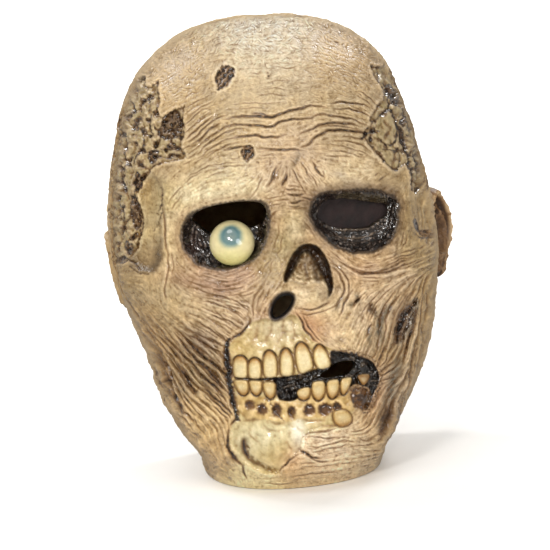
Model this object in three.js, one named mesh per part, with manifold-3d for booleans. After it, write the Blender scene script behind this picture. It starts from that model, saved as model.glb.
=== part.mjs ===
// Full-head latex mask of a decayed skull-like face.
// Millimetres.  +Z up, face towards -Y, neck rim flat on z = 0.
import * as THREE from 'three';
import { mergeVertices } from 'three/addons/utils/BufferGeometryUtils.js';
import Module from 'manifold-3d';

const wasm = await Module();
wasm.setup();

// ---------------------------------------------------------------- dimensions
const SKIN = 2.6;              // wall of the cast latex
const GAP = 0.35;              // clearance between neighbouring pieces
const BALL_R = 13.3;           // false eyeball, radius
const BALL_BACK = 5.5;         // flat back of the eyeball below its centre
const BALL_RISE = -5.6;        // eyeball centre, measured from the head form
const PAD_R = 8.0, PAD_T = 1.2;      // glue pad behind the eyeball
const SEAT_R = 15.8, SEAT_T = 2.6;   // moulded seat that holds the eyeball
const SLIT_W = 2.4, SLIT_TOP = 104, SLIT_END_R = 3.2;  // rear slit
const SEAM_T = 0.8;            // glue seam round the gauze
const GAUZE_T = 0.6;           // gauze sheet
const SEAM_IN = 1.6, SEAM_OUT = 6.0, GAUZE_OUT = 6.8;  // margins round the eye opening
const EAR = { at: [98.5, 12, 133], size: [11.5, 14, 29], lean: 6 };
const TOOTH_D = 5.0;           // depth of a tooth block
const TOOTH_OUT = 1.6;         // how far a tooth stands out of the gum

// rings of the head form: z, front reach, back reach, half width -X, half width +X
const RINGS = [
  [280.0, 0.0, 0.0, 0.0, 0.0],
  [278.6, 20.0, 22.0, 24.0, 24.0],
  [274.0, 41.0, 46.0, 42.0, 43.5],
  [265.5, 61.0, 70.0, 57.5, 59.5],
  [252.0, 79.0, 92.0, 72.5, 73.5],
  [234.0, 94.0, 110.0, 83.7, 83.2],
  [212.0, 104.0, 122.0, 90.3, 90.6],
  [189.0, 108.0, 129.0, 96.0, 95.0],
  [166.0, 107.0, 131.0, 99.0, 98.6],
  [143.0, 105.0, 129.0, 99.8, 101.2],
  [120.0, 104.0, 123.0, 97.0, 100.6],
  [97.0, 103.0, 114.0, 90.5, 97.4],
  [74.0, 102.0, 104.0, 83.0, 92.0],
  [50.0, 100.0, 97.0, 77.5, 82.0],
  [28.0, 97.0, 92.0, 67.5, 69.0],
  [12.0, 90.0, 89.0, 57.0, 59.0],
  [0.0, 80.0, 88.0, 54.0, 55.0],
];

// soft forms on the face chart: across, up, spread along, spread across, turn (deg), height
const FORMS = [
  [-30.4, 54.6, 19.8, 5.0, 9, 4.5],
  [51.5, 61.4, 21.1, 5.0, -3, 4.5],
  [10.5, 57.0, 9.9, 7.4, 0, 3.0],
  [10.5, 37.2, 4.3, 12.4, 6, 7.0],
  [13.6, 22.9, 3.7, 7.4, 10, 4.0],
  [-0.6, 22.9, 3.7, 11.2, 0, -2.0],
  [19.2, -9.9, 9.3, 8.1, 0, 10.5],
  [9.3, -8.1, 5.6, 5.0, 0, 4.0],
  [5.0, -19.2, 10.5, 8.1, 35, 4.0],
  [26.7, -21.7, 8.7, 5.0, -10, 2.5],
  [-41.5, -6.8, 21.1, 6.2, -6, 5.5],
  [-77.5, -4.3, 14.9, 6.2, 2, 3.5],
  [-52.7, -22.9, 11.2, 9.9, 0, 1.5],
  [57.7, 3.1, 21.1, 5.6, 8, 5.0],
  [87.4, 14.3, 10.5, 5.6, 10, 3.5],
  [60.1, -8.1, 11.2, 6.2, 0, 1.5],
  [-78.1, 31.0, 5.6, 19.8, -4, -5.5],
  [-67.0, 37.2, 3.1, 18.6, -2, 2.0],
  [92.4, 41.5, 5.0, 16.1, 0, -4.5],
  [83.1, 46.5, 2.5, 22.3, 0, 2.0],
  [-61.4, -57.7, 14.9, 22.3, 14, -6.0],
  [78.7, -30.4, 11.2, 26.0, -14, -6.5],
  [-21.7, -15.5, 8.7, 12.4, -20, -2.0],
  [6.2, -62.0, 38.4, 28.5, 0, 9.0],
  [43.4, -72.5, 21.1, 17.4, 0, 3.0],
  [-4.3, -108.5, 18.6, 11.2, 0, 6.0],
  [34.1, -103.5, 16.1, 8.7, 0, 3.0],
  [60.1, -93.0, 13.6, 14.9, 0, 2.5],
  [10.5, -77.5, 43.4, 3.7, 0, -1.5],
  [9.3, 93.0, 46.5, 21.1, 0, 1.5],
];

// tooth blocks on the face chart: across, up, width, height, lean (deg)
const TEETH = [
  [-21.7, -57.7, 8.7, 13.6, 0],
  [-13.0, -58.3, 8.7, 12.4, 0],
  [-3.1, -55.2, 8.7, 16.1, 0],
  [6.2, -54.6, 8.1, 16.7, 0],
  [18.0, -51.5, 10.5, 19.2, 8],
  [28.5, -50.8, 9.9, 14.9, 10],
  [-21.1, -70.1, 8.1, 9.3, 0],
  [-12.4, -70.7, 8.1, 9.3, 0],
  [-3.1, -71.9, 8.1, 11.2, 0],
  [18.0, -73.8, 8.7, 8.1, 0],
  [27.3, -72.5, 8.7, 11.2, 0],
  [36.6, -70.7, 8.7, 11.8, 0],
  [44.0, -69.4, 7.4, 11.2, 0],
];

// outlines on the face chart
const SOCKET_NEG_X = [[-57.0, 26.7], [-54.6, 35.3], [-49.6, 39.7], [-40.3, 42.8], [-31.0, 45.3], [-18.6, 46.5], [-8.1, 45.9], [-5.0, 41.5], [-3.1, 34.1], [-3.7, 26.7], [-5.6, 18.6], [-10.5, 11.2], [-18.6, 6.2], [-27.9, 3.1], [-37.2, 3.1], [-46.5, 6.8], [-52.7, 11.2], [-56.4, 18.6]];
const SOCKET_POS_X = [[22.9, 46.5], [27.9, 50.2], [40.3, 53.3], [55.8, 53.9], [68.2, 52.7], [76.3, 48.4], [77.5, 40.3], [76.9, 31.0], [73.8, 21.7], [67.6, 17.4], [58.9, 14.3], [49.6, 13.6], [41.5, 15.5], [34.1, 20.5], [29.1, 26.7], [24.8, 34.1], [22.3, 40.3]];
const EYE_HOLE = [[-52.7, 36.0], [-46.5, 40.9], [-31.0, 44.6], [-15.5, 45.9], [-8.1, 44.6], [-5.0, 39.1], [-6.8, 32.9], [-11.8, 29.8], [-16.7, 28.5], [-24.8, 27.3], [-34.1, 27.3], [-40.3, 27.3], [-44.6, 28.5], [-49.0, 31.6]];
const EYE_WINDOW = [[25.4, 37.2], [26.7, 43.4], [32.9, 47.1], [43.4, 47.7], [52.7, 45.9], [62.0, 44.6], [70.1, 44.6], [71.3, 39.1], [67.6, 34.1], [62.0, 30.4], [53.9, 28.5], [45.3, 27.9], [37.2, 29.8], [31.0, 32.9], [26.7, 36.0]];
const NASAL_CAVITY = [[21.1, 19.2], [16.1, 17.4], [11.2, 11.2], [7.4, 3.1], [5.6, -4.3], [9.3, -6.8], [15.5, -3.1], [22.9, -0.6], [29.1, -4.3], [32.2, -10.5], [32.9, -16.7], [36.6, -10.5], [36.0, -3.1], [32.9, 8.1], [27.9, 16.7]];
const NOSTRIL = [[-1.9, -26.7], [-2.5, -21.1], [0.0, -16.1], [4.3, -12.4], [9.3, -10.5], [13.0, -11.8], [13.0, -16.1], [9.9, -21.1], [5.0, -25.4], [0.6, -27.9]];
const MOUTH_HOLLOW = [[29.1, -47.7], [37.8, -46.5], [47.7, -47.7], [56.4, -51.5], [63.2, -56.4], [65.1, -62.6], [62.6, -68.8], [56.4, -65.1], [46.5, -63.2], [36.6, -63.9], [29.1, -62.6], [26.7, -56.4]];
const MOUTH_SLOT = [[30.4, -53.9], [37.8, -53.3], [45.3, -54.6], [50.2, -57.7], [47.7, -61.4], [40.3, -63.2], [32.9, -62.6], [29.1, -59.5]];
// recesses: outline, depth, width of the wall
const RECESSES = [[SOCKET_NEG_X, 13, 7], [SOCKET_POS_X, 12, 7], [NASAL_CAVITY, 9, 4.5], [NOSTRIL, 6, 3.5], [MOUTH_HOLLOW, 6, 5]];
const BALL_AT = [-27.9, 18.6];

// ---------------------------------------------------------------- face chart
// The chart is a central projection of the face from a point 1.6 m in front
// of it, a little to one side and above, so that an outline drawn on it is
// the outline seen from the front.
const DEG = Math.PI / 180;
const TURN = 6.5 * DEG, LIFT = 6 * DEG, TILT = 5 * DEG, REACH = 1600;
const V = (x, y, z) => new THREE.Vector3(x, y, z);
const centre = V(0, 0, 150);
const view = V(-Math.sin(TURN) * Math.cos(LIFT), -Math.cos(TURN) * Math.cos(LIFT), Math.sin(LIFT));
const r0 = view.clone().negate().cross(V(0, 0, 1)).normalize();
const u0 = r0.clone().cross(view.clone().negate());
const ir = r0.clone().multiplyScalar(Math.cos(TILT)).addScaledVector(u0, -Math.sin(TILT));
const iu = r0.clone().multiplyScalar(Math.sin(TILT)).addScaledVector(u0, Math.cos(TILT));
const eye = centre.clone().addScaledVector(view, REACH);
const aim = centre.clone().addScaledVector(ir, 2.79).addScaledVector(iu, -31);
const fw = aim.clone().sub(eye).normalize();
const across = ir.clone().addScaledVector(fw, -ir.dot(fw)).normalize();
const upward = across.clone().cross(fw);
const chart = (p) => {
  const q = p.clone().sub(eye), w = q.dot(fw);
  return [REACH * q.dot(across) / w, REACH * q.dot(upward) / w];
};
const ray = (x, y) => fw.clone().addScaledVector(across, x / REACH).addScaledVector(upward, y / REACH);

// ---------------------------------------------------------------- head form
const NR = RINGS.length - 1;
const clamp = (x, a, b) => Math.min(b, Math.max(a, x));
const smooth = (a, b, x) => { const t = clamp((x - a) / (b - a), 0, 1); return t * t * (3 - 2 * t); };
function ringValue(col, t, pole) {
  const i = Math.min(Math.floor(t), NR - 1), f = t - i;
  const g = (j) => RINGS[clamp(j, 0, NR)][col];
  const p1 = g(i), p2 = g(i + 1);
  const p0 = i === 0 ? (pole ? 2 * g(0) - g(1) : g(1)) : g(i - 1);
  const p3 = i === NR - 1 ? 2 * g(NR) - g(NR - 1) : g(i + 2);
  return 0.5 * (2 * p1 + (p2 - p0) * f + (2 * p0 - 5 * p1 + 4 * p2 - p3) * f * f + (3 * p1 - p0 - 3 * p2 + p3) * f * f * f);
}
function head(u, t) {
  t = clamp(t, 0, NR);
  const s = Math.sin(u), c = Math.cos(u);
  const ws = 0.5 + 0.5 * Math.tanh(s * 4), wc = 0.5 + 0.5 * Math.tanh(c * 4);
  const a = ringValue(3, t, true) * (1 - ws) + ringValue(4, t, true) * ws;
  const b = ringValue(2, t, true) * (1 - wc) + ringValue(1, t, true) * wc;
  const n = 2.08 + 0.12 * wc, pw = (k) => Math.sign(k) * Math.abs(k) ** (2 / n);
  return V(a * pw(s), -b * pw(c), ringValue(0, t, false));
}
function normal(u, t) {
  const e = 0.03;
  const du = head(u + e, t).sub(head(u - e, t)), dt = head(u, t + e).sub(head(u, t - e));
  const n = du.cross(dt);
  if (n.length() < 1e-9) return V(0, 0, 1);
  n.normalize();
  const p = head(u, t);
  if (n.dot(V(p.x, p.y - 5, p.z - 140)) < 0) n.negate();
  n.z *= smooth(0, 22, p.z);           // the rim grows straight sideways
  return n.normalize();
}
function edgeDistance(poly, x, y) {
  let d = 1e9, inside = false;
  for (let i = 0; i < poly.length; i++) {
    const [ax, ay] = poly[i], [bx, by] = poly[(i + 1) % poly.length];
    const ex = bx - ax, ey = by - ay;
    const k = clamp(((x - ax) * ex + (y - ay) * ey) / (ex * ex + ey * ey), 0, 1);
    d = Math.min(d, Math.hypot(x - ax - ex * k, y - ay - ey * k));
    if ((ay > y) !== (by > y) && x < ax + (y - ay) * (bx - ax) / (by - ay)) inside = !inside;
  }
  return inside ? d : -d;
}
function relief(x, y, inner) {
  let h = 0;
  for (const [cx, cy, sx, sy, turn, m] of FORMS) {
    const ca = Math.cos(turn * DEG), sa = Math.sin(turn * DEG), dx = x - cx, dy = y - cy;
    const p = (dx * ca + dy * sa) / sx, q = (dy * ca - dx * sa) / sy;
    h += m * Math.exp(-0.5 * (p * p + q * q));
  }
  for (const [poly, depth, wall] of RECESSES) {
    h -= depth * smooth(-0.5, wall, edgeDistance(poly, x, y) + (inner ? 1.8 : 0));
  }
  return h;
}
// point of the skin: lift is 0 on the outside, -SKIN on the inside
function skinPoint(u, t, lift) {
  const p = head(u, t), n = normal(u, t);
  const toEye = eye.clone().sub(p).normalize();
  const w = smooth(-0.05, 0.25, n.dot(toEye)) * smooth(0, 14, p.z);
  const [x, y] = chart(p);
  return p.addScaledVector(n, relief(x, y, lift < 0) * w + lift);
}
// the head form's point and normal under a chart position
function onForm(x, y) {
  let u = Math.asin(clamp(x / 105, -0.95, 0.95)), t = 8;
  for (let k = 0; k < 30; k++) {
    const e = 1e-3, p = chart(head(u, t)), pu = chart(head(u + e, t)), pt = chart(head(u, t + e));
    const a = (pu[0] - p[0]) / e, b = (pt[0] - p[0]) / e, c = (pu[1] - p[1]) / e, d = (pt[1] - p[1]) / e;
    const rx = x - p[0], ry = y - p[1], det = a * d - b * c;
    u += clamp((rx * d - b * ry) / det, -0.2, 0.2);
    t = clamp(t + clamp((a * ry - c * rx) / det, -1, 1), 0.2, NR);
  }
  return { p: head(u, t), n: normal(u, t) };
}

// ---------------------------------------------------------------- solids
function solid(geometry) {
  geometry.deleteAttribute('normal');
  geometry.deleteAttribute('uv');
  const g = mergeVertices(geometry, 1e-4);
  return new wasm.Manifold(new wasm.Mesh({
    numProp: 3,
    vertProperties: new Float32Array(g.attributes.position.array),
    triVerts: new Uint32Array(g.index.array),
  }));
}
function fromPoints(points, faces) {
  const g = new THREE.BufferGeometry();
  g.setAttribute('position', new THREE.Float32BufferAttribute(points.flatMap((p) => [p.x, p.y, p.z]), 3));
  g.setIndex(faces.flat());
  return solid(g);
}
function mesh(name, man, colour, roughness, metalness = 0) {
  const m = man.getMesh(), g = new THREE.BufferGeometry();
  const pos = new Float32Array(m.numVert * 3);
  for (let i = 0; i < m.numVert; i++) for (let k = 0; k < 3; k++) pos[3 * i + k] = m.vertProperties[i * m.numProp + k];
  g.setAttribute('position', new THREE.BufferAttribute(pos, 3));
  g.setIndex(new THREE.BufferAttribute(new Uint32Array(m.triVerts), 1));
  g.computeVertexNormals();
  const out = new THREE.Mesh(g, new THREE.MeshStandardMaterial({ color: colour, roughness, metalness }));
  out.name = name;
  return out;
}
// columns round the head: close together on the face, wider at the back
const columns = [];
for (let a = -60; a < 60; a += 5) columns.push(a);
for (let a = 60; a < 110; a += 10) columns.push(a);
for (let a = 110; a < 250; a += 14) columns.push(a);
for (let a = 250; a < 300; a += 10) columns.push(a);
// rows from crown to rim, as ring positions
const rowAt = (z) => {
  let a = 0, b = NR;
  for (let k = 0; k < 40; k++) { const m = (a + b) / 2; if (ringValue(0, m, false) > z) a = m; else b = m; }
  return (a + b) / 2;
};
const rows = [0.4, 1, 1.7, 2.4, 3.1, 3.8, 4.5];
for (let z = 236; z > 30; z -= 7.4) if (rowAt(z) > 4.8) rows.push(rowAt(z));
rows.push(rowAt(24), rowAt(16), rowAt(8), NR);
// closed body of the head form raised by lift, with the rim carried down by drop
function body(lift, drop) {
  const pts = [], faces = [], n = columns.length;
  const top = V(0, 0, RINGS[0][0] + lift);
  pts.push(top);
  for (const t of rows) for (const a of columns) pts.push(skinPoint(a * DEG, t, lift));
  let m = rows.length;
  const last = 1 + (m - 1) * n;
  for (let i = 0; i < n; i++) pts[last + i].z = 0;
  if (drop > 0) {
    for (let i = 0; i < n; i++) pts.push(V(pts[last + i].x, pts[last + i].y, -drop));
    m++;
  }
  pts.push(V(0, 4, -drop));
  const at = (r, i) => 1 + r * n + (i % n), end = pts.length - 1;
  for (let i = 0; i < n; i++) {
    faces.push([0, at(0, i), at(0, i + 1)]);
    for (let r = 0; r < m - 1; r++) {
      const a = at(r, i), b = at(r + 1, i), c = at(r + 1, i + 1), d = at(r, i + 1);
      if ((r + i) % 2) faces.push([a, b, c], [a, c, d]); else faces.push([a, b, d], [b, c, d]);
    }
    faces.push([at(m - 1, i), end, at(m - 1, i + 1)]);
  }
  return fromPoints(pts, faces);
}
function grow(poly, d) {
  if (!d) return poly;
  const out = [], n = poly.length;
  let area = 0;
  for (let i = 0; i < n; i++) { const [a, b] = poly[i], [c, e] = poly[(i + 1) % n]; area += a * e - c * b; }
  const s = Math.sign(area);
  for (let i = 0; i < n; i++) {
    const p = poly[(i + n - 1) % n], q = poly[i], r = poly[(i + 1) % n];
    let nx = r[1] - p[1], ny = p[0] - r[0];
    const l = Math.hypot(nx, ny);
    out.push([q[0] + s * d * nx / l, q[1] + s * d * ny / l]);
  }
  return out;
}
// a tapering plug with the given chart outline, between two depths from the sight point
function plug(outline, near, far) {
  const shape = outline.map(([x, y]) => new THREE.Vector2(x, y));
  if (THREE.ShapeUtils.area(shape) < 0) shape.reverse();
  const tris = THREE.ShapeUtils.triangulateShape(shape, []), n = shape.length, pts = [], faces = [];
  for (const w of [near, far]) for (const q of shape) pts.push(eye.clone().addScaledVector(ray(q.x, q.y), w));
  for (const [a, b, c] of tris) faces.push([a, b, c], [n + a, n + c, n + b]);
  for (let i = 0; i < n; i++) { const j = (i + 1) % n; faces.push([i, n + i, j], [j, n + i, n + j]); }
  return fromPoints(pts, faces);
}
const NEAR = REACH - 190, FAR = REACH - 30;

// ---------------------------------------------------------------- skin
const outside = body(0, 0);
const inside = body(-SKIN, 6);
let skin = outside.subtract(inside);

// teeth, moulded with the skin
for (const [x, y, w, h, lean] of TEETH) {
  const { p, n } = onForm(x, y);
  const lift = relief(x, y, false);
  const up = upward.clone().addScaledVector(n, -upward.dot(n)).normalize();
  up.applyAxisAngle(n, lean * DEG);
  const side = up.clone().cross(n);
  const g = new THREE.BoxGeometry(w * 0.94, h, TOOTH_D, 1, 1, 1);
  const a = g.attributes.position;
  for (let i = 0; i < a.count; i++) if (a.getZ(i) > 0) { a.setX(i, a.getX(i) * 0.78); a.setY(i, a.getY(i) * 0.9); }
  const m = new THREE.Matrix4().makeBasis(side, up, n);
  m.setPosition(p.clone().addScaledVector(n, lift + TOOTH_OUT - TOOTH_D / 2));
  skin = skin.add(solid(g.applyMatrix4(m)));
}

// shrunken ear with its hollow
{
  const g = new THREE.SphereGeometry(1, 14, 10);
  g.scale(...EAR.size); g.rotateX(EAR.lean * DEG); g.translate(...EAR.at);
  skin = skin.add(solid(g).subtract(inside));
  const c = new THREE.SphereGeometry(1, 8, 6);
  c.scale(5, 5.5, 13); c.translate(EAR.at[0] + 11, EAR.at[1] - 6, EAR.at[2] + 3);
  skin = skin.subtract(solid(c));
}

// seat of the false eyeball
const ballSpot = onForm(...BALL_AT);
const ballTurn = new THREE.Matrix4().makeBasis(
  upward.clone().cross(ballSpot.n).normalize(),
  ballSpot.n.clone().cross(upward.clone().cross(ballSpot.n).normalize()),
  ballSpot.n).setPosition(ballSpot.p.clone().addScaledVector(ballSpot.n, BALL_RISE));
function turned(profile, segments) {       // profile: [radius, height] along the eyeball's axis
  const g = new THREE.LatheGeometry(profile.map(([r, z]) => new THREE.Vector2(r, z)), segments);
  g.rotateX(Math.PI / 2);
  return solid(g.applyMatrix4(ballTurn));
}
function dome(r, back, n) {
  const a0 = -Math.asin(back / r), out = [[0, -back]];
  for (let k = 0; k <= n; k++) { const a = a0 + (Math.PI / 2 - a0) * k / n; out.push([k === n ? 0 : r * Math.cos(a), r * Math.sin(a)]); }
  return out;
}
const padTop = -BALL_BACK - GAP, padBottom = padTop - PAD_T, seatFloor = padBottom - GAP;
skin = skin.add(turned([[0, seatFloor - SEAT_T], [SEAT_R - 2, seatFloor - SEAT_T], [SEAT_R, seatFloor], [SEAT_R, -2.5], [0, -2.5]], 28));
skin = skin.subtract(turned(dome(BALL_R + GAP, BALL_BACK + GAP, 10), 28));
skin = skin.subtract(turned([[0, seatFloor], [PAD_R + GAP, seatFloor], [PAD_R + GAP, 0], [0, 0]], 20));

// openings
skin = skin.subtract(plug(EYE_HOLE, NEAR, FAR).subtract(turned([[0, seatFloor - SEAT_T - 1], [11.5, seatFloor - SEAT_T - 1], [11.5, 3], [0, 3]], 24)));
skin = skin.subtract(plug(EYE_WINDOW, NEAR, FAR));
skin = skin.subtract(plug(NOSTRIL, NEAR, FAR));
skin = skin.subtract(plug(MOUTH_SLOT, NEAR, FAR));
{
  const slit = new THREE.BoxGeometry(SLIT_W, 120, SLIT_TOP + 8);
  slit.translate(0, 120, (SLIT_TOP - 8) / 2);
  const end = new THREE.CylinderGeometry(SLIT_END_R, SLIT_END_R, 120, 16);
  end.translate(0, 120, SLIT_TOP);
  skin = skin.subtract(solid(slit).add(solid(end)));
}

// ---------------------------------------------------------------- eyeball, gauze
const ball = turned(dome(BALL_R, BALL_BACK, 10), 28);
const pad = turned([[0, padBottom], [PAD_R, padBottom], [PAD_R, padTop], [0, padTop]], 20);
// sheet lying against the inside of the skin, between two depths, under a chart outline
function lining(from, to, outline, hole) {
  let cut = plug(outline, NEAR, FAR);
  if (hole) cut = cut.subtract(plug(hole, NEAR - 5, FAR + 5));
  return body(-SKIN - from, 6).subtract(body(-SKIN - to, 7)).intersect(cut);
}
const seam = lining(GAP, GAP + SEAM_T, grow(EYE_WINDOW, SEAM_OUT), grow(EYE_WINDOW, SEAM_IN));
const gauze = lining(2 * GAP + SEAM_T, 2 * GAP + SEAM_T + GAUZE_T, grow(EYE_WINDOW, GAUZE_OUT));

function largest(man) { return man.decompose().sort((a, b) => b.volume() - a.volume())[0]; }

const mask = new THREE.Group();
mask.add(mesh('latex_skin', largest(skin), 0xb7986c, 0.55));
mask.add(mesh('false_eyeball', ball, 0xd9d2a4, 0.15));
mask.add(mesh('eyeball_glue_pad', pad, 0x6b5a34, 0.3));
mask.add(mesh('eye_gauze', largest(gauze), 0x17120f, 0.95));
mask.add(mesh('gauze_glue_seam', largest(seam), 0x8d8266, 0.35));
export default mask;
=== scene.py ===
import math
import bpy
import numpy as np
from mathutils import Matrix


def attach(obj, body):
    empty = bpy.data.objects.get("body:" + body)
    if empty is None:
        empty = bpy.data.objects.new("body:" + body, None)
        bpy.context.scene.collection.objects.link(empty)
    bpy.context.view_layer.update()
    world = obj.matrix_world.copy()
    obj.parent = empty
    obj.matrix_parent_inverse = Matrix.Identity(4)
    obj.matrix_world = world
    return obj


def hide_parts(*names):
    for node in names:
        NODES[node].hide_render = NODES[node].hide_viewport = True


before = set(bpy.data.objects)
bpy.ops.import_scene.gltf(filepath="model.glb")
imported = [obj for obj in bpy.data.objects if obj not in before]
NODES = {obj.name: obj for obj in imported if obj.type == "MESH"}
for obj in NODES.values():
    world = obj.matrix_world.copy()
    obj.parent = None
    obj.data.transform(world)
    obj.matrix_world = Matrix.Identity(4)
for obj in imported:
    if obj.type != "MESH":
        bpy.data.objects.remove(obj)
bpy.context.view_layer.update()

# A full-head latex mask of a decayed skull.  Lengths in this script are millimetres until a mesh is made;
# +Z up, the face looks along -Y.  The relief and paint of the face are laid out on a flat "chart", the central
# projection of the head seen from the eye point below; chart units run 0..550 across the view.
RES = 0.46          # grid pitch of the face, mm
S = 2.0              # chart samples per chart unit
SKIN = 2.6                             # latex thickness, mm
SLIT_W, SLIT_TOP, SLIT_R = 2.4, 104.0, 3.2
f32 = np.float32

# ------------------------------------------------------------------ head form
RINGS = np.array([
    # z     front  back   left   right
    [280.0,   0,   0,   0.0,   0.0], [278.6,  20,  22,  24.0,  24.0], [274.0,  41,  46,  42.0,  43.5],
    [265.5,  61,  70,  57.5,  59.5], [252.0,  79,  92,  72.5,  73.5], [234.0,  94, 110,  83.7,  83.2],
    [212.0, 104, 122,  90.3,  90.6], [189.0, 108, 129,  96.0,  95.0], [166.0, 107, 131,  99.0,  98.6],
    [143.0, 105, 129,  99.8, 101.2], [120.0, 104, 123,  97.0, 100.6], [ 97.0, 103, 114,  90.5,  97.4],
    [ 74.0, 102, 104,  83.0,  92.0], [ 50.0, 100,  97,  77.5,  82.0], [ 28.0,  97,  92,  67.5,  69.0],
    [ 12.0,  90,  89,  57.0,  59.0], [  0.0,  80,  88,  54.0,  55.0]])
NR = len(RINGS) - 1
RAD = math.pi / 180
YAW, PIT, ROLL, DIST, PX = 6.5 * RAD, 6.0 * RAD, 5.0 * RAD, 1600.0, 0.62
C0 = np.array([0.0, 0.0, 150.0])
VD = np.array([-math.sin(YAW) * math.cos(PIT), -math.cos(YAW) * math.cos(PIT), math.sin(PIT)])
_r = np.cross(-VD, [0, 0, 1.0]); _r /= np.linalg.norm(_r); _u = np.cross(_r, -VD)
IR = math.cos(ROLL) * _r - math.sin(ROLL) * _u
IU = math.sin(ROLL) * _r + math.cos(ROLL) * _u
EYE = C0 + VD * DIST
AIM = C0 + IR * (275 - 270.5) * PX - IU * (275 - 225) * PX
FW = (AIM - EYE) / np.linalg.norm(AIM - EYE)
CR = IR - FW * (IR @ FW); CR /= np.linalg.norm(CR); CU = np.cross(CR, FW)
FL = DIST / PX


def chart(P):
    q = P - EYE; w = q @ FW
    return 275 + FL * (q @ CR) / w, 275 - FL * (q @ CU) / w


def ray(px, py):
    v = FW + CR * ((px - 275) / FL) + CU * ((275 - py) / FL)
    return v / np.linalg.norm(v)


def sstep(a, b, x):
    t = np.clip((x - a) / (b - a), 0, 1); return t * t * (3 - 2 * t)


def spline(T, t, pole):
    i = np.minimum(t.astype(int), NR - 1); f = t - i
    g = lambda j: T[np.clip(j, 0, NR)]
    p0, p1, p2, p3 = g(i - 1), g(i), g(i + 1), g(i + 2)
    p0 = np.where(i == 0, (2 * T[0] - T[1]) if pole else T[1], p0)
    p3 = np.where(i == NR - 1, 2 * T[NR] - T[NR - 1], p3)
    return 0.5 * ((2 * p1) + (-p0 + p2) * f + (2 * p0 - 5 * p1 + 4 * p2 - p3) * f * f + (-p0 + 3 * p1 - 3 * p2 + p3) * f ** 3)


def head(u, v):
    t = np.clip(v, 0, 1) * NR
    z = spline(RINGS[:, 0], t, False)
    F = spline(RINGS[:, 1], t, True); B = spline(RINGS[:, 2], t, True)
    AL = spline(RINGS[:, 3], t, True); AR = spline(RINGS[:, 4], t, True)
    s, c = np.sin(u), np.cos(u)
    ws = 0.5 + 0.5 * np.tanh(s * 4); wc = 0.5 + 0.5 * np.tanh(c * 4)
    a = AL * (1 - ws) + AR * ws; b = B * (1 - wc) + F * wc; n = 2.08 + 0.12 * wc
    return np.stack([a * np.sign(s) * np.abs(s) ** (2 / n), -b * np.sign(c) * np.abs(c) ** (2 / n), z], -1)


def frame_of(u, v, e=2e-3):
    """place, outward direction, chart place and facing of head points"""
    P = head(u, v)
    du = head(u + e, v) - head(u - e, v)
    dv = head(u, np.minimum(v + e, 1)) - head(u, np.maximum(v - e, 0))
    n = np.cross(du, dv); l = np.linalg.norm(n, axis=-1, keepdims=True)
    n = np.where(l > 1e-9, n / np.maximum(l, 1e-9), np.array([0, 0, 1.0]))
    sg = np.sign((n * (P - np.array([0, 5, 140.0]))).sum(-1, keepdims=True)); n = n * np.where(sg == 0, 1, sg)
    X, Y = chart(P)
    q = EYE - P; q /= np.linalg.norm(q, axis=-1, keepdims=True)
    return P, n, X, Y, (n * q).sum(-1), q


# ------------------------------------------------------------------ noise
LAT = np.random.default_rng(7).random((64, 64, 64)).astype(f32) * 2 - 1


def vnoise(P, f, seed=0):
    q = (P * f + np.array([seed * 7.31, seed * 3.77, seed * 5.13])).astype(np.float64)
    i = np.floor(q).astype(np.int64); t = (q - i).astype(f32); t = t * t * (3 - 2 * t)
    i &= 63; j = (i + 1) & 63
    x0, y0, z0, x1, y1, z1 = i[..., 0], i[..., 1], i[..., 2], j[..., 0], j[..., 1], j[..., 2]
    tx, ty, tz = t[..., 0], t[..., 1], t[..., 2]
    a = LAT[x0, y0, z0] * (1 - tx) + LAT[x1, y0, z0] * tx
    b = LAT[x0, y1, z0] * (1 - tx) + LAT[x1, y1, z0] * tx
    c = LAT[x0, y0, z1] * (1 - tx) + LAT[x1, y0, z1] * tx
    d = LAT[x0, y1, z1] * (1 - tx) + LAT[x1, y1, z1] * tx
    return (a * (1 - ty) + b * ty) * (1 - tz) + (c * (1 - ty) + d * ty) * tz


def fbm(P, f, octaves=3, seed=0):
    s = 0; a = 1.0; k = 0.0
    for o in range(octaves):
        s = s + a * vnoise(P, f * 2 ** o, seed + o * 3); k += a; a *= 0.55
    return s / k * 1.7


# ------------------------------------------------------------------ chart canvas
X0, X1, Y0, Y1 = 88.0, 472.0, -4.0, 512.0
GX, GY = np.meshgrid(np.arange(X0, X1 + 1e-6, 1 / S), np.arange(Y0, Y1 + 1e-6, 1 / S))
GX = GX.astype(f32); GY = GY.astype(f32); SHAPE = GX.shape
FY = np.fft.fftfreq(SHAPE[0])[:, None] * S; FX = np.fft.rfftfreq(SHAPE[1])[None, :] * S
FR = np.hypot(FX, FY)


def band(l0, l1, seed):
    """noise with wavelengths from l0 to l1 chart units, unit deviation"""
    w = np.random.default_rng(seed).standard_normal(SHAPE)
    m = math.log(1 / math.sqrt(l0 * l1)); s = 0.5 * math.log(l1 / l0)
    g = np.exp(-0.5 * ((np.log(np.maximum(FR, 1e-6)) - m) / s) ** 2); g[0, 0] = 0
    o = np.fft.irfft2(np.fft.rfft2(w) * g, SHAPE); return (o / o.std()).astype(f32)


def blur(A, r):
    """gaussian blur with radius r chart units"""
    return np.fft.irfft2(np.fft.rfft2(A) * np.exp(-2 * (math.pi * FR * r) ** 2), SHAPE).astype(f32)


N_BIG, N_MID, N_FINE, N_TINY = band(40, 110, 1), band(12, 30, 2), band(4, 9, 3), band(1.6, 3.2, 4)
SX, SY = GX + 0.36 * band(12, 26, 5), GY + 0.36 * band(12, 26, 7)
WX, WY = SX + 0.32 * band(3, 6, 6), SY + 0.32 * band(3, 6, 8)


def smoothpoly(poly, n):
    P = np.array(poly, float)
    for _ in range(n):
        Q = np.roll(P, -1, 0); P = np.stack([.75 * P + .25 * Q, .25 * P + .75 * Q], 1).reshape(-1, 2)
    return P


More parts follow.
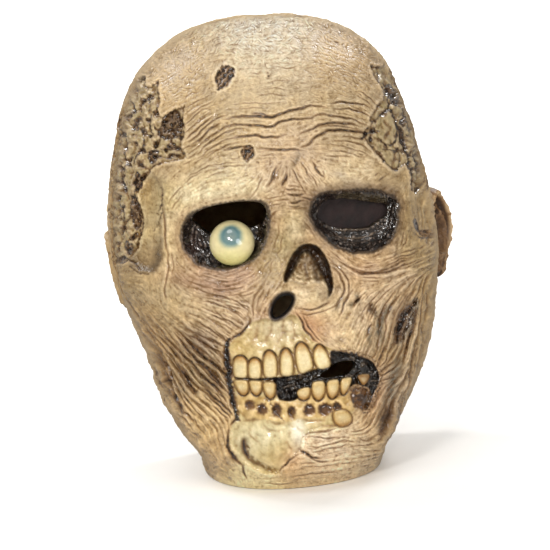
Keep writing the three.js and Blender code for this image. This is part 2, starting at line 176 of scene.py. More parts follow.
def window(x0, x1, y0, y1):
    a, b = int(max(0, (y0 - Y0) * S)), int(min(SHAPE[0], (y1 - Y0) * S + 2))
    c, d = int(max(0, (x0 - X0) * S)), int(min(SHAPE[1], (x1 - X0) * S + 2))
    return slice(a, max(a, b)), slice(c, max(c, d))


def polysdf(P, X, Y):
    Q = np.roll(P, -1, 0); d = np.full(X.shape, 1e9, f32); ins = np.zeros(X.shape, bool)
    for (ax, ay), (bx, by) in zip(P, Q):
        ex, ey = bx - ax, by - ay; L = ex * ex + ey * ey
        if L < 1e-9:
            continue
        t = np.clip(((X - ax) * ex + (Y - ay) * ey) / L, 0, 1)
        d = np.minimum(d, (X - ax - ex * t) ** 2 + (Y - ay - ey * t) ** 2)
        if by != ay:
            ins ^= (((ay > Y) != (by > Y)) & (X < ax + (Y - ay) * (bx - ax) / (by - ay)))
    d = np.sqrt(d)
    return np.where(ins, d, -d)


def sd(poly, n=2, pad=16.0, warp=True):
    """signed distance in chart units, inside positive"""
    P = smoothpoly(poly, n)
    w = window(P[:, 0].min() - pad, P[:, 0].max() + pad, P[:, 1].min() - pad, P[:, 1].max() + pad)
    o = np.full(SHAPE, -pad, f32)
    o[w] = np.maximum(polysdf(P, (WX if warp else GX)[w], (WY if warp else GY)[w]), -pad)
    return o


def pts(s):
    return [tuple(float(c) for c in p.split(",")) for p in s.split()]


def curve(P, step=2.5):
    """points along a smooth curve through P"""
    P = np.array(P, float)
    if len(P) < 3:
        return P
    A = np.vstack([2 * P[0] - P[1], P, 2 * P[-1] - P[-2]]); out = []
    for i in range(1, len(A) - 2):
        m = max(2, int(np.hypot(*(A[i + 1] - A[i])) / step))
        for t in np.arange(m) / m:
            out.append(0.5 * (2 * A[i] + (A[i + 1] - A[i - 1]) * t + (2 * A[i - 1] - 5 * A[i] + 4 * A[i + 1] - A[i + 2]) * t * t
                              + (3 * A[i] - A[i - 1] - 3 * A[i + 1] + A[i + 2]) * t ** 3))
    out.append(A[-2]); return np.array(out)


def line_field(P, reach, rough=False):
    """window, distance and 0..1 place along a curve"""
    w = window(P[:, 0].min() - reach, P[:, 0].max() + reach, P[:, 1].min() - reach, P[:, 1].max() + reach)
    X, Y = (WX[w], WY[w]) if rough else (SX[w], SY[w])
    L = np.r_[0, np.cumsum(np.hypot(*(P[1:] - P[:-1]).T))]
    d = np.full(X.shape, 1e9, f32); s = np.zeros(X.shape, f32)
    for k in range(len(P) - 1):
        (ax, ay), (bx, by) = P[k], P[k + 1]; ex, ey = bx - ax, by - ay; q = ex * ex + ey * ey
        if q < 1e-9:
            continue
        t = np.clip(((X - ax) * ex + (Y - ay) * ey) / q, 0, 1)
        e = (X - ax - ex * t) ** 2 + (Y - ay - ey * t) ** 2
        m = e < d; d = np.where(m, e, d); s = np.where(m, (L[k] + t * (L[k + 1] - L[k])) / L[-1], s)
    return w, np.sqrt(d), s


def worley(X, Y, size, seed):
    r = np.random.default_rng(seed); T = r.random((64, 64, 2)).astype(f32); K = r.random((64, 64)).astype(f32)
    gx, gy = X / size, Y / size; ix, iy = np.floor(gx).astype(int), np.floor(gy).astype(int)
    F1 = np.full(X.shape, 9, f32); F2 = F1.copy(); ID = np.zeros(X.shape, f32)
    for dy in (-1, 0, 1):
        for dx in (-1, 0, 1):
            jx, jy = ix + dx, iy + dy; a, b = jx & 63, jy & 63
            d = np.hypot(jx + T[a, b, 0] - gx, jy + T[a, b, 1] - gy)
            c = d < F1; F2 = np.where(c, F1, np.minimum(F2, d)); ID = np.where(c, K[a, b], ID); F1 = np.where(c, d, F1)
    return F1, F2, ID

# ------------------------------------------------------------------ outlines on the chart
SOCKL = pts("181,240 182,228 186,219 193,212 205,207 220,204 240,201 255,201 263,202 268,207 269,220 268,232 266,240 262,250 256,258 247,264 235,268 220,270 209,268 199,264 190,257 184,249")
SOCKR = pts("310,215 310,207 313,200 318,196 326,192 340,191 355,190 370,190 385,192 395,197 399,205 398,215 396,230 391,240 383,248 370,252 358,253 345,251 335,246 326,239 318,231 312,224")
HOLEL = pts("191,221 196,213 205,208 225,203 250,201 262,203 267,212 264,221 256,226 248,229 235,234 220,236 211,235 207,234 199,228")
HOLER = pts("317,215 319,207 325,201 335,199 348,199 362,201 375,203 385,203 388,210 386,216 378,222 370,227 358,229 345,229 333,227 325,223 319,219")
NASAL = pts("306,243 300,245 294,251 289,259 286,268 283,277 284,284 290,281 296,282 303,286 309,284 318,283 325,287 328,295 325,301 331,296 334,288 333,278 331,268 327,258 322,250 316,244")
NOSTRIL = pts("270,315 270.5,307 274,300 279,295 285,292.5 291,293 295,297 294,303 290.5,309 285.5,315 279,319.5 273,320")
BONE = pts("250,322 262,319 280,320 292,314 298,316 303,329 308,336 316,343 330,349 340,352 352,375 350,390 346,398 356,404 352,412 352,420 345,428 330,429 305,433 302,440 301,449 296,455 289,460 283,467 279,474 262,473 247,466 236,458 229,447 229,430 236,420 238,411 234,400 232,385 231,375 229,362 228,350 231,343 240,335 247,329")
MOUTH = pts("330,349 345,352 360,356 372,360 377,368 380,376 379,385 374,393 371,402 368,409 364,411 364,404 368,396 370,388 362,386 355,384 351,387 345,388 338,384.5 326,386.5 311,389 303,391 297,400 288,402 276,399 276,380 262,381 248,380 234,379 235,376 248,378 262,378 277,377 293,375 301,374 314,369 331,366 330,357")
MSLOT = pts("321,373 328,370 332,366 338,362 346,360.5 354,361 357,364 353,369.5 347,374 338,376.6 328,377.6 320,377.4")
ROTL = pts("134,80 139,76 146,76 145,85 150,86 156,82 158,81 159,90 160,97 159,105 158,112 160,117 164,116 168,112 172,110 177,109 182,106 185,104 184,112 183,120 185,128 185,136 181,142 181,149 186,158 176,161 163,164 155,166 148,175 143,181 139,190 135,200 139,210 142,222 141,240 137,250 128,262 112,264 96,240 96,180 100,130 118,95")
ROTR = pts("370,64 376,67 384,65 383,60 398,70 410,95 418,125 424,155 426,185 420,196 411,190 409,175 406,163 400,168 394,171 386,165 380,158 374,152 371,147 366,142 362,135 364,130 372,124 369,119 374,110 382,100 384,92 379,84 373,75")
SPOTA = pts("221,65 228,64 234,68 236,73 232,80 228,86 222,90 216,91 217,86 214,80 215,74 219,69")
SPOTB = pts("241,150 245,145 250,144 254,147 256,153 254,158 250,160 247,163 245,160 241,157")
UP = [pts(s) for s in (
    "234,361 236,357.5 240,356.5 244,357.5 247,362 247.6,370 247,377 241,378 234.5,376.5 233.4,369",
    "249,364 251,360 255,358.5 259,360.5 261,366 261,373 260,378 254,378.6 249.5,377.5 248.4,371",
    "264,358 266,353 269,351 273,353 276,358 277,366 276.6,376 271,377.6 264.5,376.5 263.3,367",
    "281,356 283,351 286,349 289,351 292,357 293.2,366 292.6,374.5 287,376.2 281.2,375 280.2,366",
    "295.5,352 297,346 300.5,342.5 305,345 309,351 312,360 313,368 307,371.5 301,373.5 298,369 296,360",
    "314,352 316,347.5 319,345 323,347.5 328,355 331,366 325,368.5 319,369 315.5,364 313.6,358")]
LOW = [pts(s) for s in (
    "234,380.5 241,380 248,381 248.6,388 246.6,393.5 242.6,395 239,392 236,386.5",
    "249.5,381 256,380.6 262,381.5 261.8,388 259,394 255.6,395.2 252,391.5 249.8,386",
    "263.2,383 269,382 275,383 275.2,391 273,397.5 269,398.4 265.4,393 263.4,388",
    "296.5,391.5 302,388 310,387 310.2,393 307,399 302,399.6 298,396.5",
    "311.8,382.5 318,381 325,381.3 325,391 322,398 317.8,400.4 314,396.4 312,390.5",
    "327,381.3 333,379.6 339,379.3 339,388 336,395 332,398.8 328.4,394.5 327,388",
    "340.6,379.2 347,377.6 352,377.4 350.4,384 346.4,391.6 343,395 340.8,390")]
MOLAR = pts("333,413 337,410.6 344,409.8 350,413.6 352,420 348,424.4 341,426.4 335,423")
LASTT = pts("357,376 364,374 370,374.6 368,381 364,385.4 360,381.6")
PITS = [(250, 405, 4, 4), (262, 409, 4.5, 4.5), (277, 410, 3.6, 5.5), (292, 412, 3.2, 4.5), (309, 409, 4.6, 4.6),
        (325, 409, 5.6, 5), (337, 407, 4.2, 3.4)]

# broad forms: centre, spread, turn, height mm
BUMPS = [
    (226, 187, 32, 8, -9, 4.5), (358, 176, 34, 8, 3, 4.5), (292, 183, 16, 12, 0, 3.0),
    (292, 215, 7, 20, -6, 7.0), (297, 238, 6, 12, -10, 4.0), (274, 238, 6, 18, 0, -2.0),
    (307, 292, 15, 11, 0, 9.5), (290, 289, 7, 7, 0, 3.0), (283, 306, 16, 12, -35, 4.0), (318, 310, 14, 8, 10, 2.5),
    (208, 286, 34, 10, 6, 5.5), (150, 282, 24, 10, -2, 3.5), (190, 312, 18, 16, 0, 1.5),
    (368, 270, 34, 9, -8, 5.0), (416, 252, 17, 9, -10, 3.5), (372, 288, 18, 10, 0, 1.5),
    (149, 225, 9, 32, 4, -5.5), (167, 215, 5, 30, 2, 2.0), (424, 208, 8, 26, 0, -4.5), (409, 200, 4, 36, 0, 2.0),
    (176, 368, 24, 36, -14, -6.0), (402, 324, 18, 42, 14, -6.5), (240, 300, 14, 20, 20, -2.0),
    (285, 375, 62, 46, 0, 9.0), (345, 392, 34, 28, 0, 3.0), (268, 450, 30, 18, 0, 6.0), (330, 442, 26, 14, 0, 3.0),
    (372, 425, 22, 24, 0, 2.5), (292, 400, 70, 6, 0, -1.5), (290, 125, 75, 34, 0, 1.5)]


def gauss(cx, cy, sx, sy, a=0.0):
    ca, sa = math.cos(a * RAD), math.sin(a * RAD); dx, dy = GX - cx, GY - cy
    return np.exp(-0.5 * (((dx * ca + dy * sa) / sx) ** 2 + ((-dx * sa + dy * ca) / sy) ** 2))


sSL, sSR, sHL, sHR = sd(SOCKL), sd(SOCKR), sd(HOLEL, 2, 16, False), sd(HOLER, 2, 16, False)
sNA, sNO, sBO, sMO, sMS = sd(NASAL, 2, 16, False), sd(NOSTRIL, 2, 16, False), sd(BONE, 1), sd(MOUTH, 1, 16, False), sd(MSLOT, 2, 16, False)
sRL, sRR, sSA, sSB = sd(ROTL, 1, 22), sd(ROTR, 1, 22), sd(SPOTA, 1), sd(SPOTB, 1)

HM = np.zeros(SHAPE, f32)                       # broad relief, mm
for b in BUMPS:
    HM += b[5] * gauss(*b[:5])
HM -= 12.0 * sstep(-1.0, 11.0, sSL) + 11.0 * sstep(-2.0, 13.0, sSR)
HM -= 9.5 * sstep(-0.6, 6.0, sNA) + 7.5 * sstep(-0.5, 5.0, sNO)
HM -= 5.0 * sstep(-0.3, 4.0, sMO) + 2.5 * sstep(0.0, 4.0, sMS)
TEMPLE = sd(pts("140,174 152,172 161,182 164,200 161,225 162,245 161,262 153,273 140,271 128,263 133,240 138,214 139,194"), 2, 16)
HM -= 5.5 * sstep(-1.5, 8.5, TEMPLE)
GOUGE = sd(pts("417,300 408,307 400,318 396,330 396.5,343 402,340 409,330 416,315 420,306"), 2, 16)
HM -= 2.6 * sstep(-2.0, 5.0, GOUGE)
FLAP = sd(pts("307,434 303,444 302,453 295,461 286,466 281,474 284,486 300,500 360,500 410,460 400,424 356,426 345,430 330,431 315,431"), 1, 16)
HM += 2.4 * sstep(-0.6, 5.0, FLAP) * sstep(372, 330, GX)
HM -= 2.2 * sstep(-0.4, 2.6, sBO) * sstep(345, 290, GX + 0.25 * (GY - 400))
HM = blur(HM, 0.5)

HD = np.zeros(SHAPE, f32)                       # fine relief, mm
DK = np.zeros(SHAPE, f32)                       # dark paint, 0..1

# ------------------------------------------------------------------ strokes: width, depth mm, dark : places
STROKES = """
2.4 .9 .95: 222,119 236,117 250,116 262,116 272,117 281,114 290,111 300,109 310,106 318,106 328,108
1.8 .5 .8: 250,113 262,114 270,116
2.2 .85 .95: 223,127 238,125 250,125 262,127 272,126 280,122 290,119 300,119 310,118 317,115 325,115
1.8 .6 .8: 310,115 322,114 335,116 346,118 357,121 368,126
1.8 .6 .85: 333,109 346,109 358,111 368,115
2.0 .7 .9: 330,103 342,102 352,103 360,104 370,107
2.2 .8 .95: 232,138 245,136 255,135 264,137 274,137 286,136
2.2 .8 .95: 297,135 305,132 313,128 321,125 330,123 341,123 352,124 362,127
1.6 .5 .7: 318,128 328,126 340,126 352,128 362,131
2.2 .8 .95: 226,150 240,147 252,147
2.0 .7 .9: 258,148 268,149 280,150 292,150 303,150
2.6 .95 1: 300,148 308,144 315,138 321,134 328,131 337,130 348,131 358,132 367,134 376,138 384,143 390,147
1.4 .4 .6: 322,133 330,131 340,130
1.4 .4 .6: 340,136 352,137 364,140 375,145
1.4 .4 .6: 333,140 346,141 360,145 372,151
1.4 .4 .6: 330,145 346,147 360,151 372,156
1.4 .4 .6: 326,151 338,151 352,154 366,158
1.4 .4 .5: 326,156 340,156 352,158
1.4 .4 .5: 345,104 360,110 372,118 378,124
1.4 .45 .7: 360,90 366,95 374,102 380,108
1.2 .35 .6: 357,95 366,101 374,108
1.2 .3 .5: 255,98 268,94 280,95 292,96
1.2 .3 .5: 262,90 276,88 290,90
1.2 .3 .5: 268,82 280,80 292,80
1.2 .3 .5: 235,104 250,103 265,103 280,102
1.2 .3 .4: 232,110 250,108 268,108
1.2 .3 .5: 250,73 262,73
1.2 .3 .5: 273,66 285,68 298,66
1.2 .3 .4: 256,153 266,151 278,152
1.2 .3 .4: 254,157 266,155 280,156
1.0 .3 .6: 228,159 236,158 243,155
1.2 .4 .6: 205,167 216,164 228,163 240,161
1.2 .4 .6: 208,171 220,168 232,166 246,165
1.8 .7 .8: 186,139 195,131 205,122 213,115
1.8 .7 .8: 188,143 198,134 206,127 216,119 228,114
1.8 .65 .8: 190,147 200,139 210,130 222,122
1.6 .6 .75: 193,151 203,142 213,134 228,126 242,123
1.6 .6 .7: 196,155 206,146 217,137 232,130 248,128
1.4 .5 .7: 199,158 210,149 223,141 240,135
1.4 .4 .6: 203,160 216,151 230,144 242,141
1.4 .4 .6: 182,128 190,120 198,113 208,107
1.2 .4 .6: 185,134 193,126 202,117 212,110
1.2 .4 .6: 186,121 194,113 203,106 214,101
1.2 .35 .5: 182,112 190,105 200,100 212,96
1.2 .35 .5: 180,150 190,146 200,147
1.2 .4 .6: 183,100 192,94 200,92
1.0 .3 .5: 192,165 204,156 218,149 234,146
1.0 .3 .5: 196,170 208,161 222,154
1.2 .4 .6: 186,178 196,172 208,167 222,166
1.2 .4 .6: 182,185 192,177 204,171
1.0 .3 .5: 200,180 212,175 226,171
2.6 .8 .9: 276,166 274,173 272,180 268,186
2.0 .5 .7: 279,168 276,176 273,183
3.0 .7 .9: 287,173 285,180 282,187
1.6 .5 .6: 263,176 260,182 256,190 252,196
1.6 .5 .8: 292,168 296,175 300,183
1.8 .6 .8: 303,166 306,172 311,178
2.0 .6 .8: 311,160 315,166 319,173 325,178
1.4 .4 .6: 309,172 314,179 318,188
1.4 .4 .6: 323,170 324,176
1.4 .4 .5: 302,161 303,168
1.2 .35 .5: 271,158 270,166
1.2 .35 .5: 286,186 284,191 280,196
1.4 .4 .6: 300,184 304,191 308,196
1.2 .4 .6: 316,162 320,161
1.2 .4 .6: 316,167 321,167
1.8 .6 .8: 284,190 290,189 296,188
2.0 .7 .9: 286,194 294,195 304,194
1.8 .6 .85: 300,197 308,199 315,201
2.0 .7 .9: 289,203 295,203 300,201 306,201
1.6 .5 .8: 288,207 296,207 301,206
1.4 .4 .6: 286,209 295,209 306,208
1.4 .4 .6: 275,201 283,199 292,200
1.4 .4 .6: 268,207 275,205 282,203
1.2 .4 .5: 304,212 309,218 314,226
1.2 .4 .5: 303,220 309,228 316,236
1.6 .4 .5: 266,199 273,198 280,196
2.4 .6 .9: 267,76 270,75
1.4 .4 .8: 265,78 270,78
1.6 .5 .8: 266,73 269,72
1.4 .4 .7: 255,162 259,163
1.4 .4 .8: 375,176 379,173
1.4 .4 .8: 378,181 384,177
2.0 .4 .7: 335,42 338,44
1.6 .4 .6: 329,32 331,34
1.6 .4 .6: 232,52 236,54
1.6 .4 .6: 254,52 256,54
2.2 .5 .8: 326,159 327,160
1.6 .4 .5: 268,222 272,214 280,210
1.4 .4 .5: 278,222 279,232 275,244 271,254
1.4 .4 .5: 283,235 281,246 276,256
1.2 .3 .4: 274,256 271,266 269,276
1.2 .4 .6: 262,272 266,265 272,258
2.4 .8 .95: 268,277 264,283 259,291 254,298 252,305 253,313 251,320
2.0 .7 .85: 264,290 260,297 257,304 257,311
1.4 .5 .6: 270,288 266,296 262,303
1.2 .4 .6: 280,300 272,306 266,312
1.6 .6 .9: 298,309 306,310 316,309 325,305 331,301
1.4 .5 .7: 297,313 306,314 318,313 328,309 336,303
2.4 .9 .95: 296,312 300,318 303,325 306,331 311,337 318,342
1.6 .5 .8: 301,312 305,320 310,329 316,337 324,343
2.2 .7 .7: 334,268 340,276 344,286 343,295 338,303 330,308
1.6 .6 .7: 337,265 345,274 349,284 348,294 342,303
1.4 .5 .6: 333,256 343,263 352,270 358,273
1.4 .5 .6: 331,262 339,268 347,278
1.2 .4 .5: 328,250 336,256 345,262
1.2 .4 .6: 341,262 348,267 356,271
1.8 .7 .85: 352,290 348,297 344,304 343,311 339,318
2.0 .7 .75: 344,262 352,269 362,273 374,274 386,272 398,268 410,262
1.8 .6 .75: 350,267 360,271 372,273 384,270 396,265 408,259 416,254
1.6 .6 .7: 382,268 392,263 402,259 414,256
1.6 .6 .7: 384,272 395,268 408,264 418,260
1.4 .5 .7: 388,262 398,258 410,254 417,251
1.4 .5 .7: 390,266 400,262 412,258
1.2 .5 .7: 400,254 408,251 416,248
1.2 .4 .6: 362,277 374,278 384,277
1.2 .4 .5: 370,281 380,281
1.4 .5 .6: 404,232 402,240 400,246
1.4 .5 .6: 408,234 405,243 401,250
1.6 .6 .75: 174,262 178,270 184,277 193,283 205,287 218,290 230,290 242,287 252,282 259,275
1.6 .6 .75: 172,270 178,278 188,285 200,290 213,294 227,296 240,294 251,289 260,281
1.4 .5 .7: 178,286 190,293 204,297 218,301 232,302
1.4 .5 .7: 186,280 198,286 210,290
1.4 .5 .7: 206,273 220,275 234,274 246,269 256,261
1.4 .5 .7: 198,272 212,278 226,281 240,279 252,272 262,262
1.4 .5 .7: 190,270 200,277 214,283 228,285 242,282 254,276
1.2 .4 .6: 240,284 250,278 260,268 266,258
1.2 .4 .6: 222,297 236,299 248,296
1.2 .5 .7: 176,258 180,265 187,272
1.0 .4 .5: 230,278 244,275 256,266 266,254
1.2 .4 .6: 243,283 250,285 254,283
1.8 .5 .5: 166,240 168,255 168,270 165,285 164,300
1.4 .4 .4: 170,250 173,262 172,275
2.2 .6 .6: 163,208 165,222 165,238 167,252
1.2 .4 .6: 168,204 172,198 178,190 186,184
1.2 .4 .5: 172,210 176,202 182,194
2.4 .9 .8: 182,331 190,336 200,341 210,347 220,352 227,356
2.0 .8 .7: 190,330 202,336 214,342 226,348
4.2 1.3 .95: 180,333 188,341 196,349 205,357 214,364 224,373 230,381
3.6 1.2 .9: 185,347 194,356 203,365 212,374 221,384 228,394
3.0 1.1 .9: 176,335 184,345 191,354 199,363 208,372
2.4 .9 .9: 160,331 168,340 176,348 184,356 192,363 200,372 209,382 218,392 226,402 233,411
2.0 .8 .8: 158,336 167,346 175,355 183,365
3.4 1.2 1: 176,362 180,370 185,376 189,383 193,389 196,392 199,387
2.2 .8 .8: 170,358 176,366 181,374 186,382
3.0 1.2 1: 195,370 202,376 210,382 217,388 223,394
2.8 1.1 .95: 199,386 206,390 213,396 220,402 227,409 233,416
2.0 .9 .9: 208,397 216,403 223,410 230,418
1.6 .7 .8: 212,405 220,412 228,419
2.4 .9 .9: 203,370 211,377 219,384 226,391 230,398
1.6 .6 .6: 200,301 212,303 224,307 236,313 246,320
1.6 .6 .65: 202,308 214,312 226,319 238,327 247,331
1.6 .6 .65: 198,315 210,320 222,328 234,336
1.6 .6 .65: 196,321 208,328 220,336 228,343
1.4 .5 .6: 222,303 232,309 242,316
1.4 .5 .6: 230,298 240,304 250,312
1.4 .5 .6: 236,294 245,300 251,306
1.4 .5 .6: 210,318 222,324 232,330
1.6 .6 .7: 215,330 224,337 229,344
1.4 .5 .6: 190,316 200,322 210,330
2.8 1.0 .85: 152,354 158,362 164,370 169,379 171,385
2.6 1.0 .9: 158,372 164,381 169,390 174,399 179,407 186,414
2.0 .8 .8: 155,362 161,371 166,378 168,384
2.4 .9 .85: 163,385 168,394 173,402 179,410 188,417
1.4 .6 .7: 180,408 187,416 192,421
1.4 .5 .6: 188,428 194,433 199,437
1.4 .5 .5: 194,418 198,424
1.2 .5 .6: 222,432 224,440 226,448
2.0 .8 .9: 127,300 131,306 134,311 138,318
2.4 .9 .9: 132,318 136,324 141,331
2.0 .8 .9: 141,341 144,347 147,352
1.6 .5 .5: 166,284 165,293 166,301
9.0 1.6 1: 414,302 407,310 402,319 399,329 397,338 395,344
2.0 .8 .7: 405,305 399,314 395,324
1.6 .8 .7: 411,312 405,320 402,330 400,340
4.0 1.0 .85: 418,306 417,318 413,330 409,340 406,350 403,360
2.0 .7 .7: 425,296 424,310 422,325 420,342
2.0 .7 .7: 418,340 415,355 412,368 409,380 406,390
1.6 .6 .6: 430,290 430,305 428,320
1.6 .6 .65: 388,290 380,299 373,308 369,317 365,326
1.6 .6 .65: 395,291 387,301 381,312 379,324 379,336
1.8 .7 .7: 402,292 394,302 388,313 386,326 385,338
1.6 .6 .65: 410,292 402,302 396,312
1.4 .5 .6: 378,294 370,302 363,311 360,318
1.4 .5 .6: 415,288 408,297 402,306
2.6 1.0 .7: 384,306 380,316 379,328
3.6 1.0 .95: 353,306 356,301 361,298
2.4 .8 .85: 366,314 370,307 374,302
1.8 .7 .85: 371,318 374,311 378,305
2.2 .8 .9: 366,336 369,330 372,324
1.6 .6 .7: 380,340 378,348 375,356 372,362
2.2 .8 .9: 385,345 382,353 378,362
1.6 .7 .8: 389,352 386,360 380,367
1.8 .8 .9: 394,360 388,366 380,371
1.8 .8 .9: 394,369 387,373 379,375
1.6 .7 .8: 395,377 388,379 381,380
1.4 .6 .7: 393,342 390,350 387,356
7.0 1.3 .85: 393,399 389,408 385,418 381,428 377,436
2.0 .7 .8: 387,404 383,414 379,424
1.6 .5 .4: 374,390 372,400 368,412 362,422
1.4 .5 .5: 350,432 358,431 366,428 374,420
1.6 .6 .7: 306,437 318,437 330,438 342,437
1.6 .6 .7: 308,446 320,447 332,444 345,440 353,442
1.4 .5 .6: 312,452 325,450 338,447 350,443
1.4 .5 .6: 316,433 328,431 338,428
3.0 1.0 1: 299,448 305,453 312,457 321,459
1.6 .7 .9: 309,458 317,461 326,462
1.4 .4 .5: 358,437 366,441 372,436
1.4 .4 .4: 295,470 310,467 326,466 342,463
1.4 .4 .5: 286,478 305,474 325,473 345,470
1.4 .4 .4: 300,464 316,463
1.2 .4 .5: 262,484 278,484 296,483
3.2 1.2 1: 251,320 247,327 241,333 234,337 229,342
8.0 2.0 1: 227,346 226,354 228,363 230,372 231,380
6.0 1.6 1: 231,384 232,393 234,402 237,411
3.0 1.0 .9: 238,408 238,414 234,421 230,427
3.4 1.2 1: 229,428 228,437 228,446 231,453 237,459 243,465
2.0 .8 .8: 242,464 244,471 247,479
2.0 .8 .8: 280,472 284,466 289,461 295,457 300,453
1.6 .5 .6: 302,438 306,434 314,432 324,431 332,428
"""
ox = np.zeros(SHAPE, f32); oy = np.zeros(SHAPE, f32)
groove = np.zeros(SHAPE, f32); lips = np.zeros(SHAPE, f32)
_q = np.random.default_rng(11)
for line in STROKES.splitlines():
    if ":" not in line:
        continue
    hd, body = line.split(":"); wd, dep, dk = (float(v) for v in hd.split())
    P = curve(pts(body)); w, d, s = line_field(P, 12 + 2 * wd)
    mx_, my_ = P[:, 0].mean(), P[:, 1].mean()
    if 174 < mx_ < 264 and 264 < my_ < 302:
        wd, dep, dk = 0.8 * wd, 0.6 * dep, 0.42 * dk
    if 160 < mx_ < 222 and 298 < my_ < 326:
        dep, dk = 0.6 * dep, 0.5 * dk
    tap = np.clip(np.sin(np.pi * np.clip(s, 0.02, 0.98)), 0, 1) ** 0.45
    tap = np.clip(tap * (0.95 + (0.14 if wd < 5 else 0.03) * N_FINE[w]), 0, 1.1)
    hw = 0.46 * wd * (0.55 + 0.45 * tap)
    g = np.exp(-(d / hw) ** 2)
    groove[w] = np.maximum(groove[w], dep * tap * g)
    lips[w] = np.maximum(lips[w], 0.42 * dep * tap * np.exp(-((d - 1.15 * wd) / (0.62 * wd)) ** 2))
    DK[w] = np.maximum(DK[w], dk * tap * np.exp(-(d / (hw * 1.12)) ** 2))
    DK[w] = np.maximum(DK[w], 0.34 * dk * tap * np.exp(-(d / (wd * 1.35)) ** 2))
    a = np.arctan2(P[-1, 1] - P[0, 1], P[-1, 0] - P[0, 0])
    T = P[1:] - P[:-1]
    for k in range(0, len(T), 3):
        a = math.atan2(T[k, 1], T[k, 0]); c = P[k]
        w2 = window(c[0] - 26, c[0] + 26, c[1] - 26, c[1] + 26)
        g2 = np.exp(-((GX[w2] - c[0]) ** 2 + (GY[w2] - c[1]) ** 2) / 150.0)
        ox[w2] += g2 * math.cos(2 * a); oy[w2] += g2 * math.sin(2 * a)
HD += 1.5 * (lips - groove)

# ------------------------------------------------------------------ direction field and streaks
for cx, cy, r, deg, k in (
        (180, 60, 40, -35, .35), (250, 35, 50, -28, .35), (320, 45, 50, 12, .35), (380, 90, 40, 50, .3), (270, 100, 60, 0, .3),
        (200, 100, 40, -25, .3), (150, 200, 20, 90, .5), (430, 210, 16, 90, .5), (175, 310, 40, 20, .3), (140, 320, 25, 60, .3),
        (215, 240, 60, 0, .05), (200, 440, 40, 35, .4), (180, 420, 25, 50, .4), (415, 400, 25, -65, .4), (430, 330, 22, 90, .4),
        (350, 450, 40, -8, .4), (260, 480, 40, 0, .3), (310, 290, 14, 0, .3), (290, 230, 16, 80, .4), (262, 250, 18, 70, .4),
        (150, 285, 30, -5, .4), (380, 285, 30, -10, .4)):
    g = k * np.exp(-((GX - cx) ** 2 + (GY - cy) ** 2) / (2.0 * r * r))
    ox += g * math.cos(2 * deg * RAD); oy += g * math.sin(2 * deg * RAD)
ang = 0.5 * np.arctan2(blur(oy, 5), blur(ox, 5)) + 0.07 * N_MID
vx, vy = np.cos(ang).astype(f32), np.sin(ang).astype(f32)
JY, JX = np.mgrid[0:SHAPE[0], 0:SHAPE[1]].astype(f32)


def lic(N, L):
    out = N.copy(); k = 1.0
    for sgn in (1, -1):
        px, py = JX.copy(), JY.copy(); lx, ly = vx * sgn, vy * sgn
        for i in range(L):
            a = np.clip(np.rint(py), 0, SHAPE[0] - 1).astype(np.int32); b = np.clip(np.rint(px), 0, SHAPE[1] - 1).astype(np.int32)
            cx, cy = vx[a, b], vy[a, b]; f = np.where(cx * lx + cy * ly < 0, -1, 1).astype(f32)
            lx, ly = cx * f, cy * f; px += lx; py += ly
            w = 1 - i / L
            a = np.clip(np.rint(py), 0, SHAPE[0] - 1).astype(np.int32); b = np.clip(np.rint(px), 0, SHAPE[1] - 1).astype(np.int32)
            out += w * N[a, b]; k += w if sgn == 1 else 0
    return (out / out.std()).astype(f32)


L1 = lic(band(1.7, 3.0, 21), int(7 * S)); L2 = lic(band(3.2, 6.5, 22), int(12 * S))
L3 = lic(band(4.6, 9.5, 24), int(17 * S))
ang += 0.55 * band(9, 22, 25); vx, vy = np.cos(ang).astype(f32), np.sin(ang).astype(f32)
HAIR = lic(band(1.4, 2.6, 23), int(4 * S))

skin = np.ones(SHAPE, f32)                     # plain painted skin, away from sockets, rot, bone
for m in (sSL, sSR, sNA, sNO, sMO, sSA, sSB, sRL, sRR):
    skin *= 1 - sstep(-1.5, 1.0, m)
bone = sstep(-0.8, 0.8, sBO)
AM = 0.15 + 0.0 * GX                            # how strongly the skin is streaked
for cx, cy, sx, sy, a, k in (
        (280, 35, 90, 22, 0, .16), (352, 136, 28, 20, 0, .32), (205, 140, 22, 24, -30, .36), (288, 178, 26, 14, 0, .30),
        (205, 372, 34, 34, 30, .85), (168, 385, 18, 34, 0, .7), (228, 312, 26, 18, 0, .5), (395, 325, 28, 36, 0, .65),
        (390, 400, 24, 36, 0, .6), (345, 445, 34, 18, 0, .35), (222, 284, 36, 12, 0, .5), (385, 268, 34, 14, 0, .35),
        (150, 225, 10, 40, 0, -.18), (225, 92, 32, 22, 0, -.12), (305, 292, 16, 10, 0, -.2), (178, 290, 30, 16, 0, -.2), (198, 312, 20, 13, 0, -.32),
        (432, 250, 16, 60, 0, .25), (130, 320, 16, 40, 0, .2)):
    AM += k * gauss(cx, cy, sx, sy, a)
AM = np.clip(AM, 0.05, 1.15) * skin * (1 - 0.85 * bone) * (0.42 + 0.72 * sstep(-1.2, 1.2, band(7, 18, 26))) * (1 - 0.34 * gauss(386, 372, 46, 62))
L1c, L2c = np.clip(L1, -2.6, 2.2), np.clip(L2, -2.6, 2.2)
HD += AM * (0.32 * L1c + 0.55 * L2c)
DK = np.maximum(DK * (0.35 + 0.65 * skin), AM * (0.66 * sstep(0.4, 2.3, -L2) + 0.50 * sstep(0.3, 2.2, -L1)))
BAND = (gauss(198, 366, 30, 30, 30) + 0.9 * gauss(165, 385, 14, 30, -20) + 0.7 * gauss(402, 322, 14, 34, 12) + 0.6 * gauss(390, 402, 16, 28, 10)) * skin * (1 - bone)
HD += BAND * 0.85 * np.clip(L3, -2.2, 2.0); DK = np.maximum(DK, BAND * 0.56 * sstep(0.5, 1.8, -L3))
